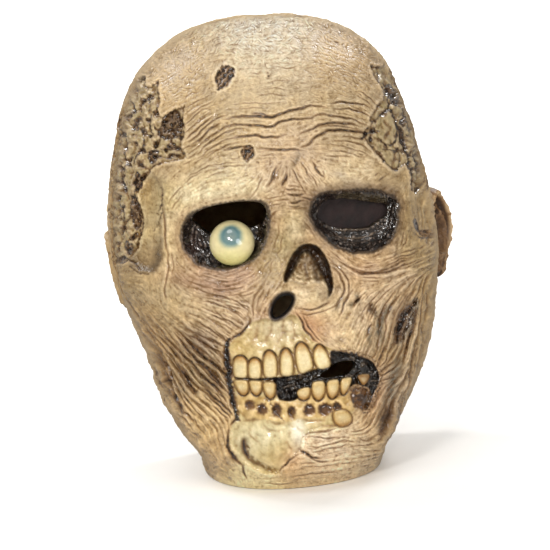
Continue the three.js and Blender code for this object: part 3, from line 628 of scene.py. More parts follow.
HAIRM = (0.75 * sstep(100, 25, GY) + 0.4 * gauss(345, 95, 40, 30) + 0.4 * gauss(180, 90, 30, 30) + 0.40) * skin * (1 - bone)
HD += HAIRM * 0.24 * np.clip(HAIR, -2.2, 2)
DK = np.maximum(DK, HAIRM * 0.46 * sstep(0.6, 2.3, -HAIR))
HD += skin * (0.075 * N_FINE + 0.045 * N_TINY + 0.30 * N_MID * (0.35 + AM)) * (1 - 0.75 * bone)

# ------------------------------------------------------------------ paint
def soft(x):
    return np.clip(x, 0, 1)


# tone per region: the pale crown patch is a painted highlight, and the darker, browner side tones are partly paint and
# partly painted shade
BASE = [  # x, y, spread, paint
    (270, 42, 42, 228, 212, 188), (185, 70, 30, 200, 170, 126), (160, 120, 22, 196, 166, 122), (345, 55, 34, 192, 160, 116),
    (385, 95, 24, 184, 158, 122), (255, 105, 36, 208, 180, 134), (345, 112, 26, 204, 180, 140), (290, 150, 26, 208, 178, 142),
    (200, 145, 20, 200, 173, 132), (225, 190, 22, 231, 211, 170), (352, 172, 22, 222, 196, 156), (390, 185, 16, 190, 162, 120),
    (148, 215, 16, 190, 170, 126), (170, 225, 10, 206, 180, 138), (160, 288, 24, 202, 175, 131), (212, 306, 18, 222, 196, 156),
    (215, 278, 14, 184, 150, 122), (296, 222, 11, 206, 174, 132), (274, 250, 11, 180, 157, 115), (311, 291, 11, 225, 199, 158),
    (276, 310, 10, 212, 186, 146), (375, 290, 20, 204, 175, 138), (400, 315, 16, 186, 156, 118), (366, 269, 15, 190, 158, 118),
    (408, 205, 12, 176, 148, 104), (426, 250, 12, 172, 144, 100), (432, 310, 16, 160, 130, 86), (405, 350, 14, 164, 136, 96),
    (332, 450, 18, 238, 208, 166), (205, 330, 18, 186, 156, 114), (140, 330, 20, 170, 140, 94), (160, 370, 16, 156, 126, 82),
    (190, 375, 15, 150, 122, 88), (185, 425, 22, 208, 174, 124), (220, 452, 14, 206, 172, 124), (390, 385, 16, 190, 160, 122),
    (400, 420, 22, 166, 136, 92), (365, 440, 18, 218, 188, 144), (262, 480, 20, 246, 222, 168), (330, 480, 24, 230, 200, 154),
    (125, 200, 16, 160, 134, 92), (120, 280, 18, 166, 138, 94), (330, 320, 16, 214, 186, 144), (300, 330, 10, 196, 152, 106)]
num = np.zeros(SHAPE + (3,), f32); den = np.full(SHAPE, 1e-5, f32)
for x, y, r, *c in BASE:
    g = np.exp(-((WX - x) ** 2 + (WY - y) ** 2) / (2.0 * (0.85 * r) ** 2)).astype(f32) + 1e-4 * np.exp(-((WX - x) ** 2 + (WY - y) ** 2) / 12000.0)
    num += g[..., None] * np.array(c, f32); den += g
C = num / den[..., None]
SMO = 1 - 0.45 * sstep(200, 170, GY)
C *= (1 + 0.024 * N_BIG + 0.030 * SMO * N_MID + 0.026 * SMO * N_FINE + 0.020 * N_TINY + 0.055 * HAIRM * np.clip(HAIR, -2, 2) + 0.05 * AM * np.clip(L1, -2, 2) + 0.07 * BAND * np.clip(L3, -1, 2))[..., None]
C += (skin * soft(0.5 + 0.5 * band(18, 46, 31)))[..., None] * np.array([3, 0, -5], f32)
R = 0.34 + 0.05 * N_MID + 0.03 * N_FINE
BROWN, DARK, BLACK, INK = (120, 84, 50), (64, 42, 24), (36, 28, 22), (20, 14, 10)


def mix(col, m):
    global C
    C = C + (np.array(col, f32) - C) * np.clip(m, 0, 1)[..., None]


def rough(v, m):
    global R
    R = R + (v - R) * np.clip(m, 0, 1)


# softer tints
mix((176, 128, 88), 0.45 * gauss(314, 324, 16, 9, 20)); mix((196, 140, 92), 0.30 * gauss(264, 312, 8, 16, 20))
mix((186, 134, 88), 0.30 * gauss(378, 392, 9, 14)); mix((190, 142, 92), 0.35 * gauss(291, 468, 12, 12))
mix((150, 108, 78), 0.35 * gauss(200, 283, 26, 5, 10)); mix((146, 106, 78), 0.30 * gauss(240, 280, 22, 5, -25))
mix((132, 100, 66), 0.45 * gauss(300, 200, 14, 8)); mix((120, 94, 62), 0.40 * gauss(262, 285, 6, 16, 25))
mix((112, 92, 60), 0.34 * gauss(270, 232, 5, 22, 0))
mix((158, 128, 86), 0.35 * gauss(196, 352, 26, 20, 40)); mix((112, 90, 62), 0.22 * gauss(205, 372, 13, 26, -42))
mix((96, 74, 50), 0.36 * gauss(168, 390, 9, 20, -28)); mix((120, 94, 66), 0.36 * gauss(402, 326, 9, 26, 14))
mix((116, 90, 62), 0.36 * gauss(388, 412, 8, 22, 14)); mix((140, 112, 76), 0.4 * gauss(410, 366, 9, 26, 10))
mix((140, 110, 72), 0.30 * gauss(392, 136, 20, 14)); mix((150, 122, 84), 0.3 * gauss(346, 134, 30, 18, 8))
mix((152, 124, 84), 0.28 * gauss(214, 142, 26, 18, -30)); mix((128, 100, 66), 0.3 * gauss(426, 228, 8, 9))
mix((104, 94, 80), 0.80 * sstep(-6.0, 1.5, GOUGE)); GS = sstep(-2.5, 1.0, GOUGE + 0.8 * N_MID) * sstep(-0.1, 0.75, np.sin(0.95 * (GX + 0.42 * GY) + 1.5 * N_MID + 0.7 * N_FINE) + 0.2 * N_FINE); mix((26, 22, 18), 0.9 * GS); HD -= 1.1 * GS; rough(0.14, sstep(-3, 2, GOUGE));  HD += sstep(-1, 3, GOUGE) * (0.30 * N_MID + 0.16 * N_FINE)
for l, wd, kk in (("387,306 382,317 379,329 382,341", 6.0, .85), ("396,300 391,306 388,313", 3.0, .7), ("340,300 338,305 336,309", 3.0, .6), ("371,330 369,338 370,346", 3.4, .5), ("358,294 357,299 360,304", 4.0, .8), ("370,303 372,309 376,316", 4.8, .8), ("352,302 350,307", 3.0, .6), ("400,352 396,368 392,384 388,400 382,416", 7.0, .55), ("388,408 384,418 380,428", 6.0, .8), ("300,152 297,160 292,168", 3.2, .3)):
    P = curve(pts(l)); w, d, s = line_field(P, 12, True); g = np.exp(-(d / (0.62 * wd)) ** 2) * np.sin(np.pi * np.clip(s, .05, .95)) ** 0.6
    C[w] += (np.array((86, 78, 62), f32) - C[w]) * (1.2 * kk * g * (1 + 0.25 * N_FINE[w])).clip(0, 1)[..., None]; HD[w] -= 0.5 * g
P = curve(pts("431,284 426,300 420,322 413,346 404,372 394,396")); w, d, s = line_field(P, 14); g = np.exp(-(d / 2.6) ** 2) * np.sin(np.pi * np.clip(s, .04, .96)); HD[w] += 0.9 * g; C[w] += (np.array((214, 186, 146), f32) - C[w]) * (0.5 * g)[..., None]
mix((104, 86, 70), 0.42 * gauss(203, 344, 13, 10, 30)); mix((206, 160, 118), 0.4 * gauss(374, 404, 6, 20, 20)); mix((146, 112, 74), 0.45 * gauss(148, 336, 12, 22, -20))
mix((146, 112, 86), 0.34 * gauss(206, 284, 30, 7, 12)); mix((128, 96, 76), 0.50 * gauss(180, 272, 7, 12, -30) * soft(0.7 + 0.5 * L1)); mix((156, 120, 92), 0.25 * gauss(240, 314, 12, 12, 30))
mix((196, 136, 88), 0.35 * gauss(310, 330, 8, 12, -40)); mix((200, 150, 100), 0.4 * gauss(288, 476, 10, 9))
rim = np.exp(-((sSL + 4.5) / 3.6) ** 2) * (sSL < 1.5); mix((130, 96, 66), 0.34 * rim)
rim = np.exp(-((sSR + 3.0) / 5.0) ** 2) * (sSR < 2.5); mix((88, 66, 46), 0.52 * rim * sstep(262, 230, GY))
mix((122, 92, 62), 0.30 * np.exp(-((sNA + 3) / 2.6) ** 2))

# broken and granular skin ----------------------------------------------------
F1, F2, ID = worley(WX, WY, 5.2, 41); G1, G2, GI = worley(WX + 3, WY - 7, 2.5, 42)
edge = 1 - sstep(0.04, 0.30, F2 - F1); edge2 = 1 - sstep(0.04, 0.34, G2 - G1)
rot = np.maximum(sstep(-0.4, 1.0, sRL), sstep(-0.4, 1.0, sRR))
smoothrot = np.maximum.reduce([0.9 * gauss(385, 75, 8, 8), 0.7 * gauss(389, 127, 7, 11), 0.7 * gauss(390, 158, 8, 7)]) * rot
cr_amt = rot * (1 - 0.8 * soft(smoothrot))
lump = (0.55 - F1) * 0.9 + 0.35 * (0.5 - G1)
HD += -1.25 * np.maximum(sstep(-0.2, 1.1, sRL), sstep(-0.2, 1.1, sRR))
HD += 0.45 * np.maximum(np.exp(-((sRL + 1.3) / 1.2) ** 2), np.exp(-((sRR + 1.3) / 1.2) ** 2))
RB = band(9, 20, 44)
HD += cr_amt * (1.1 * lump - 1.1 * edge * soft(0.15 + 0.6 * RB) - 0.35 * edge2 * soft(0.2 + 0.5 * RB + 0.3 * N_FINE) + 0.55 * N_MID + 0.30 * N_FINE - 0.9 * sstep(0.5, 1.1, RB))
mix((182, 158, 114), 0.80 * rot); C += ((ID - 0.5) * 9 * cr_amt)[..., None]
mix((154, 134, 88), 0.55 * rot * soft(band(9, 26, 43))); mix((180, 156, 112), 0.7 * smoothrot)
DK = np.maximum(DK, cr_amt * np.maximum(0.9 * edge * soft(0.10 + 0.7 * RB), 0.55 * edge2 * soft(0.10 + 0.5 * RB + 0.3 * N_FINE)))
DK = np.maximum(DK, cr_amt * 0.97 * sstep(0.55, 1.0, RB + 0.30 * N_FINE) * (1 - 0.55 * soft(0.5 + 0.6 * N_FINE + 0.5 * N_TINY)))
DK = np.maximum(DK, cr_amt * 0.34 * sstep(0.4, 1.4, N_FINE + 0.4 * N_MID))
DK = np.maximum(DK, 0.95 * np.maximum(np.exp(-((sRL - 0.9) / 1.0) ** 2), np.exp(-((sRR - 0.9) / 1.0) ** 2)) * soft(0.62 + 0.5 * N_FINE))


RUF = soft(0.55 + 0.30 * N_FINE + 0.22 * N_TINY + 0.5 * (0.5 - G1))


def pit(poly, depth, dk=1.0, wall=2.0, gloss=None, n=1):
    """a sunken dark patch"""
    global HD, DK
    m = sd(pts(poly), n, 8); k = sstep(-0.5, wall, m)
    HD = HD - depth * k * (0.9 + 0.2 * N_FINE); DK = np.maximum(DK, dk * sstep(-0.6, 0.9, m) * (1 - 0.52 * RUF * sstep(0.6, 2.0, m)))
    HD = HD + k * sstep(0.5, 2.0, m) * (0.9 * (RUF - 0.5) + 0.35 * N_FINE)
    if gloss is not None:
        rough(gloss, k)


def crack(line, wd, depth, dk=1.0):
    global HD, DK
    P = curve(pts(line)); w, d, s = line_field(P, 4 + 2 * wd, True)
    hw = 0.5 * wd * (0.75 + 0.28 * N_FINE[w]) * (0.4 + 0.6 * np.sin(np.pi * np.clip(s, .05, .95)))
    g = np.exp(-(d / np.maximum(hw, 0.3)) ** 2)
    HD[w] -= depth * g; HD[w] += 0.3 * depth * np.exp(-((d - 1.2 * wd) / (0.7 * wd)) ** 2); DK[w] = np.maximum(DK[w], dk * g)


pit("163,117 170,112 178,110 181,117 183,126 183,133 178,139 168,140 160,140 156,133 160,125", 1.3, .93)
pit("168,143 175,143 178,147 172,150 166,148", .9, .9); pit("150,150 158,148 159,156 155,163 150,165 148,158", 1.0, .95)
pit("132,118 138,116 140,122 139,130 134,131 130,127", .9, .9); pit("134,172 138,171 142,176 144,180 141,187 137,190 134,186", 1.1, 1)
pit("136,79 141,76 146,75 145,79 139,80", 1.0, 1); pit("129,193 134,196 138,202 141,210 142,222 140,230 134,230 131,222 129,212 130,203", 1.0, .9)
mix((84, 66, 44), 0.90 * np.exp(-((TEMPLE - 3.0) / 4.2) ** 2) * sstep(236, 266, GY + 0.3 * (GX - 140))); mix((128, 108, 74), 0.55 * sstep(0, 5, TEMPLE) * sstep(228, 262, GY))
mix((124, 100, 66), 0.45 * np.exp(-((TEMPLE - 0.5) / 2.2) ** 2) * sstep(150, 158, GX))
pit("122,243 128,241 133,246 131,253 125,256", 1.0, 1, 2, .2)
for l, wd, dp in (("143,130 144,140 142,150 136,155 133,165", 2.6, .8), ("152,115 150,122 151,130 155,138", 2.2, .7),
                  ("160,149 170,150 181,148 184,153 186,158", 1.8, .8), ("160,156 170,159 180,156", 1.6, .6),
                  ("155,165 148,175 143,181 140,188 135,191 136,200 140,206 142,214 143,224 142,233 139,240 137,245", 2.6, .9),
                  ("124,135 123,150 125,162 123,175", 3.2, .8), ("128,98 133,106 131,114", 2.2, .6), ("146,96 150,104 148,112", 2.0, .6),
                  ("112,262 122,258 132,262 140,270", 2.4, .7), ("116,205 124,214 122,226 128,236", 2.6, .7),
                  ("383,83 388,90 388,100 388,110 383,113 378,117 374,121 370,120", 2.6, .9),
                  ("388,108 392,112 396,120 399,130 402,140 405,148 408,155 409,165 410,175 411,190", 4.0, 1.2),
                  ("399,100 404,112 408,122 410,132", 2.4, .8), ("384,114 390,112 395,120 397,130 396,140 390,146 384,143 378,138", 2.0, .8),
                  ("382,149 392,150 398,152 400,160 396,170 388,165 382,158 376,154", 1.8, .7), ("362,138 368,133 378,131", 4.6, .9),
                  ("386,88 393,94 398,102", 3.4, .8), ("376,68 380,76 378,84", 1.8, .6), ("413,150 416,162 418,176", 2.4, .7),
                  ("410,150 414,147 416,150", 1.6, .5), ("412,159 415,161 417,165", 1.6, .5), ("425,178 427,184 428,190", 1.8, .5),
                  ("161,189 163,195 162,202 160,208 157,214", 1.4, .5), ("162,200 162,212 160,220 156,228 154,232", 1.4, .5),
                  ("130,266 138,272 148,275", 1.6, .5), ("416,234 422,238 436,237", 1.6, .5)):
    crack(l, wd * (1.3 if float(l.split(',')[0]) > 355 else 1.0), dp)
pit("399,124 403,128 406,140 409,150 406,150 402,142 398,132", 1.2, 1); pit("385,84 393,84 400,93 402,106 394,107 389,97 385,92", 1.2, 1, 2, .12)
pit("413,218 417,219 421,226 420,233 416,230 413,224", 1.0, 1, 2, .25); pit("418,228 424,230 437,229 437,236 428,237 420,235", .8, .7)
crack("419,299 411,309 403,320 398,332 397,343", 4.4, 1.3, 1.0); crack("409,306 402,315 396,326 394,335", 3.0, .9, .95); crack("417,309 410,320 405,332 402,342", 2.4, .8, .9); crack("386,306 381,318 379,330", 3.0, .5, .55); crack("370,303 373,310 377,317", 2.6, .5, .6); crack("359,295 357,301", 2.2, .4, .6)
# open sores on the forehead
sore = np.maximum(sstep(-0.3, 1.4, sSA), sstep(-0.3, 1.2, sSB))
HD -= 1.6 * sore; HD += 0.5 * np.maximum(np.exp(-((sSA + 1.2) / 1.0) ** 2), np.exp(-((sSB + 1.2) / 1.0) ** 2))
HD += 0.85 * sore * np.sin(GX * 0.80 + GY * 0.75 + 1.3 * N_MID + 0.8 * N_FINE)
DK = np.maximum(DK, sore * (0.34 + 0.62 * sstep(-0.6, 0.9, -np.sin(GX * 0.80 + GY * 0.75 + 1.3 * N_MID + 0.8 * N_FINE)))); rough(0.3, sore); mix((120, 96, 70), 0.7 * sore)

# bared bone, gums and teeth ----------------------------------------------------
HD += 0.5 * np.exp(-((sBO + 1.4) / 1.4) ** 2) * sstep(330, 290, GX)
bs = np.clip(N_FINE * 0.25 + 0.8 * N_MID, -2, 2)
mix((216, 191, 134), 0.97 * bone); C += (bone * 3 * bs)[..., None] * np.array([1, 1, 1.6], f32)
# the whitish spot above the teeth and the white streak at the right of the chin bone are painted highlights; the broad
# cream patch on the chin bone is paint
mix((232, 216, 168), bone * 0.5 * gauss(284, 328, 16, 8, 12)); mix((240, 226, 184), bone * 0.75 * gauss(266, 436, 30, 18)); mix((255, 250, 226), bone * 0.75 * gauss(297, 432, 6, 18, 4))
mix((240, 220, 174), 0.5 * gauss(262, 480, 26, 8)); mix((206, 172, 104), bone * (0.5 * gauss(240, 346, 12, 9, -50) + 0.35 * gauss(318, 352, 18, 6, 12) + 0.5 * gauss(280, 455, 20, 12, -40) + 0.3 * gauss(268, 418, 22, 6)))
mix((182, 138, 84), bone * 0.35 * sstep(0.8, 2.2, band(5, 14, 52)))
HD += bone * (0.24 * N_MID + 0.03 * N_FINE + 0.10 * gauss(290, 329, 10, 5, 10) * N_FINE)
rough(0.2, 0.9 * bone)
for l, wd, dp, dk in (("258,322 256,334 250,346", 2.2, .5, .45), ("272,322 270,334 262,346", 2.0, .4, .35), ("284,318 282,332 276,345", 2.0, .4, .35),
                      ("293,320 294,334 292,344", 1.8, .4, .4), ("303,336 306,342 312,346", 1.8, .5, .5), ("248,430 252,438 262,443", 1.6, .4, .4),
                      ("262,424 270,430 282,430", 1.6, .4, .3), ("240,421 252,419 262,420", 2.0, .5, .5), ("268,420 276,424 290,422", 1.6, .4, .5),
                      ("300,418 312,421 326,420", 1.8, .5, .5), ("318,426 330,426 342,424", 1.8, .5, .5), ("286,440 291,450 288,460", 1.6, .4, .35)):
    P = curve(pts(l)); w, d, s = line_field(P, 10); g = np.exp(-(d / (0.9 * wd)) ** 2) * np.sin(np.pi * np.clip(s, .04, .96))
    HD[w] -= 0.8 * dp * g; C[w] += (np.array((158, 112, 62), f32) - C[w]) * (1.0 * dk * g)[..., None]
gum = sd(pts("235,394 250,392 264,397 278,401 297,401 304,392 326,388 345,388 356,391 358,403 353,412 344,410 333,411 327,418 300,419 280,423 262,419 244,418 237,410"), 1, 12)
gm = sstep(-1, 1.4, gum); mix((206, 164, 96), 0.66 * gm); HD += 0.5 * gm * (0.6 + 0.4 * N_MID)
HD += 0.6 * gauss(268, 403, 34, 4) + 0.5 * gauss(318, 403, 26, 3.5)
# lower rim of the peeled skin under the chin bone
pit("245,441 243,448 245,455 250,461 258,467 268,472 279,475 284,470 274,468 262,462 253,455 250,446", .3, .0, 3.2, .22)
# painted shade: a soft brown band along the groove under this rim, with a dark core at its upper left
P = curve(pts("244,441 244,448 247,455 253,461 262,466 271,469 279,471")); w, d, s = line_field(P, 12)
g = np.exp(-(d / (3.6 - 1.4 * s)) ** 2) * sstep(1.0, 0.75, s) * sstep(-0.05, 0.06, s + 0.04); HD[w] -= 1.5 * g; C[w] += (np.array((100, 76, 46), f32) - C[w]) * (0.80 * g * (1 - 0.45 * s))[..., None]
g = np.exp(-(d / 1.6) ** 2) * sstep(0.5, 0.25, s); DK[w] = np.maximum(DK[w], 0.9 * g)
# each gum pit is painted dark brown; easing the dark towards its lower right leaves a dark arc at the upper left as
# painted shade
for x, y, a, b in PITS:
    a, b = a * 1.14, b * 1.14
    g = np.exp(-((((WX - x) / a) ** 2 + ((WY - y) / b) ** 2)) ** 2 * 0.8)
    HD -= 2.0 * g; g2 = np.exp(-((((WX - x - .6) / (a * .62)) ** 2 + ((WY - y - 1.2) / (b * .62)) ** 2)) ** 2 * 0.8)
    DK = np.maximum(DK, (0.80 if x == 250 else 0.98) * g) * (1 - 0.42 * g2); mix((104, 66, 44), 0.8 * g); HD += 0.8 * g2; rough(0.16, g)
crack("271,403 276,412 283,421", 2.4, .9, .85); crack("264,399 268,401 273,400", 1.8, .6, .7)
# mouth darkness
mo = sstep(-0.6, 0.8, sMO)
DK = np.maximum(DK, mo); rough(0.08, mo)
MOUTH_GLINT_MASK = mo; HD += mo * (0.22 * N_FINE + 0.40 * N_MID + 0.35 * band(4, 8, 63) + 1.0 * sstep(0.2, 1.2, band(4, 7.5, 61)) * gauss(286, 389, 12, 9))
mix((112, 82, 54), 0.75 * gauss(361, 395, 8, 9) * (1 - mo)); DK = np.maximum(DK, 0.55 * gauss(360, 400, 6, 9) * soft(0.3 + 0.6 * N_FINE))
mix((212, 162, 112), 0.55 * gauss(291, 460, 7, 11, 25)); mix((220, 184, 140), 0.4 * gauss(315, 466, 24, 12)); HD += 1.3 * gauss(290, 460, 8, 12, 25) * (1 - bone)
for l, wd in (("229,339 226.5,350 227,362 228.5,374 230.5,388 232.5,400 235.5,411 238,420", 6.6), ("333,353 344,354 357,357 367,362 373,369", 6.0)):
    P = curve(pts(l)); w, d, s = line_field(P, 10, True); g = np.exp(-(d / (0.5 * wd * (1 + 0.25 * N_FINE[w]) * (0.45 + 0.55 * np.sin(np.pi * np.clip(s, .05, .95))))) ** 4); HD[w] += g * (0.45 * N_FINE[w] - 0.5); DK[w] = np.maximum(DK[w], g); R[w] += (0.1 - R[w]) * g
# a brown glossy patch right of the lower teeth; the small light dot at its left is a painted highlight
g = sstep(-1.6, 1.2, sd(pts("351,392 357,387 364,388 370,392 370,402 365,409 357,408 351,401"), 1, 8) + 0.5 * N_FINE); mix((98, 66, 38), 0.9 * g); DK = np.maximum(DK * (1 - g), g * 0.8 * sstep(0.1, 0.9, N_MID + 0.6 * N_FINE + 0.5)); HD -= g * (0.9 - 0.5 * N_MID); rough(0.09, g); mix((190, 150, 96), 0.7 * gauss(358, 394, 2.0, 2.4) * g)
fuzz = np.exp(-((sMO + 2.0) / 2.4) ** 2) * soft(0.35 + 0.9 * band(2, 5, 62)) * sstep(330, 346, GX); DK = np.maximum(DK, 0.8 * fuzz)
tooth = np.zeros(SHAPE, f32); TH = np.zeros(SHAPE, f32)
for i, (P, up) in enumerate([(p, 1) for p in UP] + [(p, 0) for p in LOW] + [(MOLAR, 2), (LASTT, 3)]):
    m = sd(P, 1, 10, False) + 0.45; t = sstep(-0.3, 0.4, m)
    rr = 4.0 if up == 1 else 3.2
    dome = np.sqrt(np.maximum(1 - (1 - np.clip((m + 0.3) / rr, 0, 1)) ** 2, 0))
    P = np.array(P); y0, y1 = P[:, 1].min(), P[:, 1].max(); x0, x1 = P[:, 0].min(), P[:, 0].max()
    k = (GY - y0) / (y1 - y0); xc = (GX - (x0 + x1) / 2) / (x1 - x0)
    h = {1: 3.1, 0: 2.7, 2: 2.2, 3: 1.6}[up]
    base = {1: -0.3, 0: -0.2, 2: -0.6, 3: -2.2}[up]
    TH = np.where(m > -0.35, base + h * dome - 0.5 * xc * xc * 4 * (dome > .5) + 0.03 * N_FINE, TH)
    HD = np.where(m > -0.35, 0.25 * HD * 0, HD)
    tooth = np.maximum(tooth, t)
    rt = sstep(0.34, 0.10, k) if up == 1 else sstep(0.60, 0.92, k); ol = np.exp(-((m + 0.40 + 0.5 * rt) / (0.46 + 0.42 * rt)) ** 2); DK = np.maximum(DK * (1 - t), 0.96 * rt * (0.55 if up == 2 else 1.0) * ol); mix((94, 60, 30), 0.85 * (1 - rt) * (1 - 0.6 * (sstep(0.82, 0.97, k) if up == 1 else 0)) * ol); rough(0.4, ol)
    HD -= (0.8 + 0.5 * rt) * np.exp(-((m + 0.8) / 0.7) ** 2) * (m < -0.3)
    col = {1: (224, 199, 142), 0: (210, 178, 118), 2: (208, 174, 112), 3: (150, 112, 68)}[up]
    mix(col, t * 0.97)
    mix((158, 110, 54), t * (0.45 + 0.4 * rt) * (1 - sstep(0.2, 1.9, m))); mix((240, 226, 186), t * 0.45 * (sstep(0.86, 0.97, k) if up == 1 else sstep(0.14, 0.03, k)))
    # painted highlight down the middle of each tooth
    mix((246, 232, 192), t * 0.50 * np.exp(-((xc * 3.2) ** 2)) * sstep(0.15, 0.45, k) * sstep(1.0, 0.7, k) * sstep(1.2, 3.2, m))
    mix((170, 120, 60), t * 0.70 * (sstep(0.40, 0.0, k) if up == 1 else sstep(0.45, 1.0, k)))
    mix((196, 156, 98), t * 0.14 * sstep(0.4, 1.5, N_FINE))
    HD += t * 0.05 * np.sin(GX * 2.1 + 0.6 * N_FINE)
rough(0.24, tooth)
HD += TH * tooth
HM += tooth * 5.0 * sstep(-0.3, 4.0, sMO)        # teeth stand in front of the dark mouth
# tar strands across the mouth
for l, wd, dp in (("277,377 284,381 292,379 302,377 312,375 324,373", 2.2, 1.4), ("276,384 282,388 290,385 297,388", 2.4, 1.4),
                  ("330,352 340,355 352,358 364,364 372,372", 2.4, .9), ("345,379 353,376 359,370 364,362", 2.0, 1.3), ("352,399 358,393 365,386", 2.2, 1.0), ("357,408 363,400 369,391", 2.2, 1.0)):
    P = curve(pts(l)); w, d, s = line_field(P, 8); g = np.exp(-(d / (0.55 * wd)) ** 2) * (1 - tooth[w]); HD[w] += dp * g

# eye sockets: glossy, black, wrinkled round the openings, with painted glints on the wrinkle crests and painted shade
# in the troughs ------------------------
for m, hole, cx, cy in ((sSL, sHL, 228, 238), (sSR, sHR, 354, 218)):
    k = sstep(-0.5, 2.2, m); r = np.hypot((WX - cx), (WY - cy) * 1.15); th = np.arctan2(WY - cy, WX - cx)
    wv = np.sin(r * 1.75 + 1.3 * N_MID + 0.9 * np.sin(th * 5) + 0.5 * N_FINE) * 0.62 + 0.38 * np.sin(r * 2.9 - 1.6 * N_MID + th * 3)
    HD += k * (0.36 * wv + 0.07 * N_FINE + 0.42 * N_MID)
    DK = np.where(k > 0.02, np.maximum(DK * (1 - k), 0), DK)
    # painted glints: light flecks on the wrinkle crests; painted shade: near-black troughs
    mix((34, 26, 22), k * 0.97); mix((176, 158, 144), k * 0.70 * sstep(0.34, 0.86, wv + 0.28 * N_FINE + 0.15 * N_TINY) * soft(0.35 + 0.6 * N_MID + 0.4 * N_FINE))
    mix((9, 7, 6), k * 0.85 * sstep(0.35, -0.7, wv)); rough(0.075, k)
    mix((44, 33, 26), 0.8 * np.exp(-((m + 0.4) / 1.3) ** 2))
# lids: olive band over the gauzed opening and a painted highlight along the raised lower edge
lid = pts("330,198 345,192 360,193 385,195 390,201 384,204 375,203 362,201 348,199 335,199"); lm = sstep(-0.8, 1.2, sd(lid, 1, 8))
mix((70, 60, 42), 0.8 * lm); HD += 0.8 * lm
# painted highlight along the raised lower-lid ridges
for l, wd, dp in (("320,221 326,226 335,229 350,230 365,229 375,225 380,221", 1.7, 1.0), ("322,231 334,236 350,238 368,236 382,229 392,218", 1.6, .8)):
    P = curve(pts(l)); w, d, s = line_field(P, 8); g = np.exp(-(d / (0.6 * wd)) ** 2) * np.sin(np.pi * np.clip(s, .05, .95)); HD[w] += dp * g
    C[w] = C[w] + (np.array((150, 122, 92), f32) - C[w]) * (0.55 * g)[..., None]
P = curve(pts("196,228 204,236 211,237 216,236")); w, d, s = line_field(P, 8); HD[w] += 0.8 * np.exp(-(d / 1.2) ** 2)
# nose cavity and nostril
k = sstep(-0.5, 1.6, sNA); mix((46, 34, 26), k); rough(0.3, k); DK *= (1 - k); HD += k * (0.35 * N_FINE + 0.4 * N_MID)
mix((14, 11, 9), k * (0.85 * gauss(298, 270, 8, 12, 20) + 0.8 * gauss(329, 292, 4, 9, 10) + 0.5 * gauss(322, 262, 6, 10)))
sp = sd(pts("303,252 308,252 313,257 317,264 320,271 324,278 328,286 329,296 326,303 316,308 300,306 290,298 286,289 287,281 291,274 295,266 299,258"), 2, 12, False)
g = sstep(-2.2, 3.2, sp); HM += (6.8 + 2.7 * sstep(264, 282, GY)) * g * sstep(-0.6, 5.0, sNA); mix((176, 148, 108), 0.95 * sstep(-1.4, 2.2, sp) * k); mix((214, 188, 146), sstep(270, 284, GY) * sstep(-1.0, 1.6, sp) * k); rough(0.34, g * k)
mix((60, 46, 36), 0.66 * k * np.exp(-((GX - 0.28 * (GY - 270) - 315) / 3.4) ** 2) * sstep(258, 266, GY) * sstep(288, 279, GY))
mix((74, 56, 42), 0.60 * k * np.exp(-((GX - 0.2 * (GY - 270) - 306) / 1.7) ** 2) * sstep(259, 266, GY) * sstep(284, 276, GY))
mix((86, 66, 48), 0.5 * k * sstep(252, 258, GY) * sstep(272, 256, GY))
# painted shade: the nostril walls go near-black, blackest furthest in; the light raised rim on its right is a painted
# highlight and the dark band on its left side painted shade
k = sstep(-0.5, 1.4, sNO); mix((22, 16, 12), k); mix((5, 4, 3), sstep(1.0, 3.5, sNO)); rough(0.6, k); DK *= (1 - k)
rimn = np.exp(-((sNO + 1.6) / 1.3) ** 2) * sstep(270, 290, GX + 0.4 * (GY - 300)); mix((226, 196, 148), 0.5 * rimn); HD += 0.5 * rimn
mix((34, 26, 20), 0.75 * sstep(3.0, 0.4, np.abs(sNO + 0.2)) * sstep(302, 292, GX + 0.2 * (GY - 300)))
# ------------------------------------------------------------------ washes from the relief itself, and painted highlights on its crests
HT = HM + HD
cav = HD - blur(HD, 2.2); cav2 = HT - blur(HT, 6.0)
keep = 1 - 0.75 * np.maximum(sstep(-0.5, 2, sSL), sstep(-0.5, 2, sSR))
mix(BROWN, keep * (1 - tooth) * 0.50 * sstep(0.05, 0.55, -cav)); mix(BROWN, keep * (1 - tooth) * (1 - bone) * 0.16 * sstep(0.3, 2.0, -cav2))
# painted highlight on raised crests of the fine relief, and a little painted shade in its grooves
C += (keep * (1 - tooth * 0.7) * 23 * np.clip(cav / 0.35, -0.5, 1.5) * (1 - soft(DK)))[..., None]
mix(BROWN, 0.70 * sstep(0.10, 0.50, DK)); mix(DARK, 0.92 * sstep(0.38, 0.80, DK)); mix(INK, 0.92 * sstep(0.78, 1.0, DK))
# painted glints: light flecks on raised crests in the mouth and in the dark pits of the rot
mix((150, 134, 116), MOUTH_GLINT_MASK * (1 - tooth) * 0.55 * sstep(0.5, 1.2, cav / 0.5 + 0.3 * N_TINY) * soft(0.4 + 0.7 * N_MID)); mix((168, 152, 132), 0.45 * soft(DK) * rot * sstep(0.4, 1.0, cav / 0.4 + 0.3 * N_TINY))
C = np.clip(C, 3, 252)
R = np.clip(R - 0.16 * soft(DK), 0.07, 0.7)
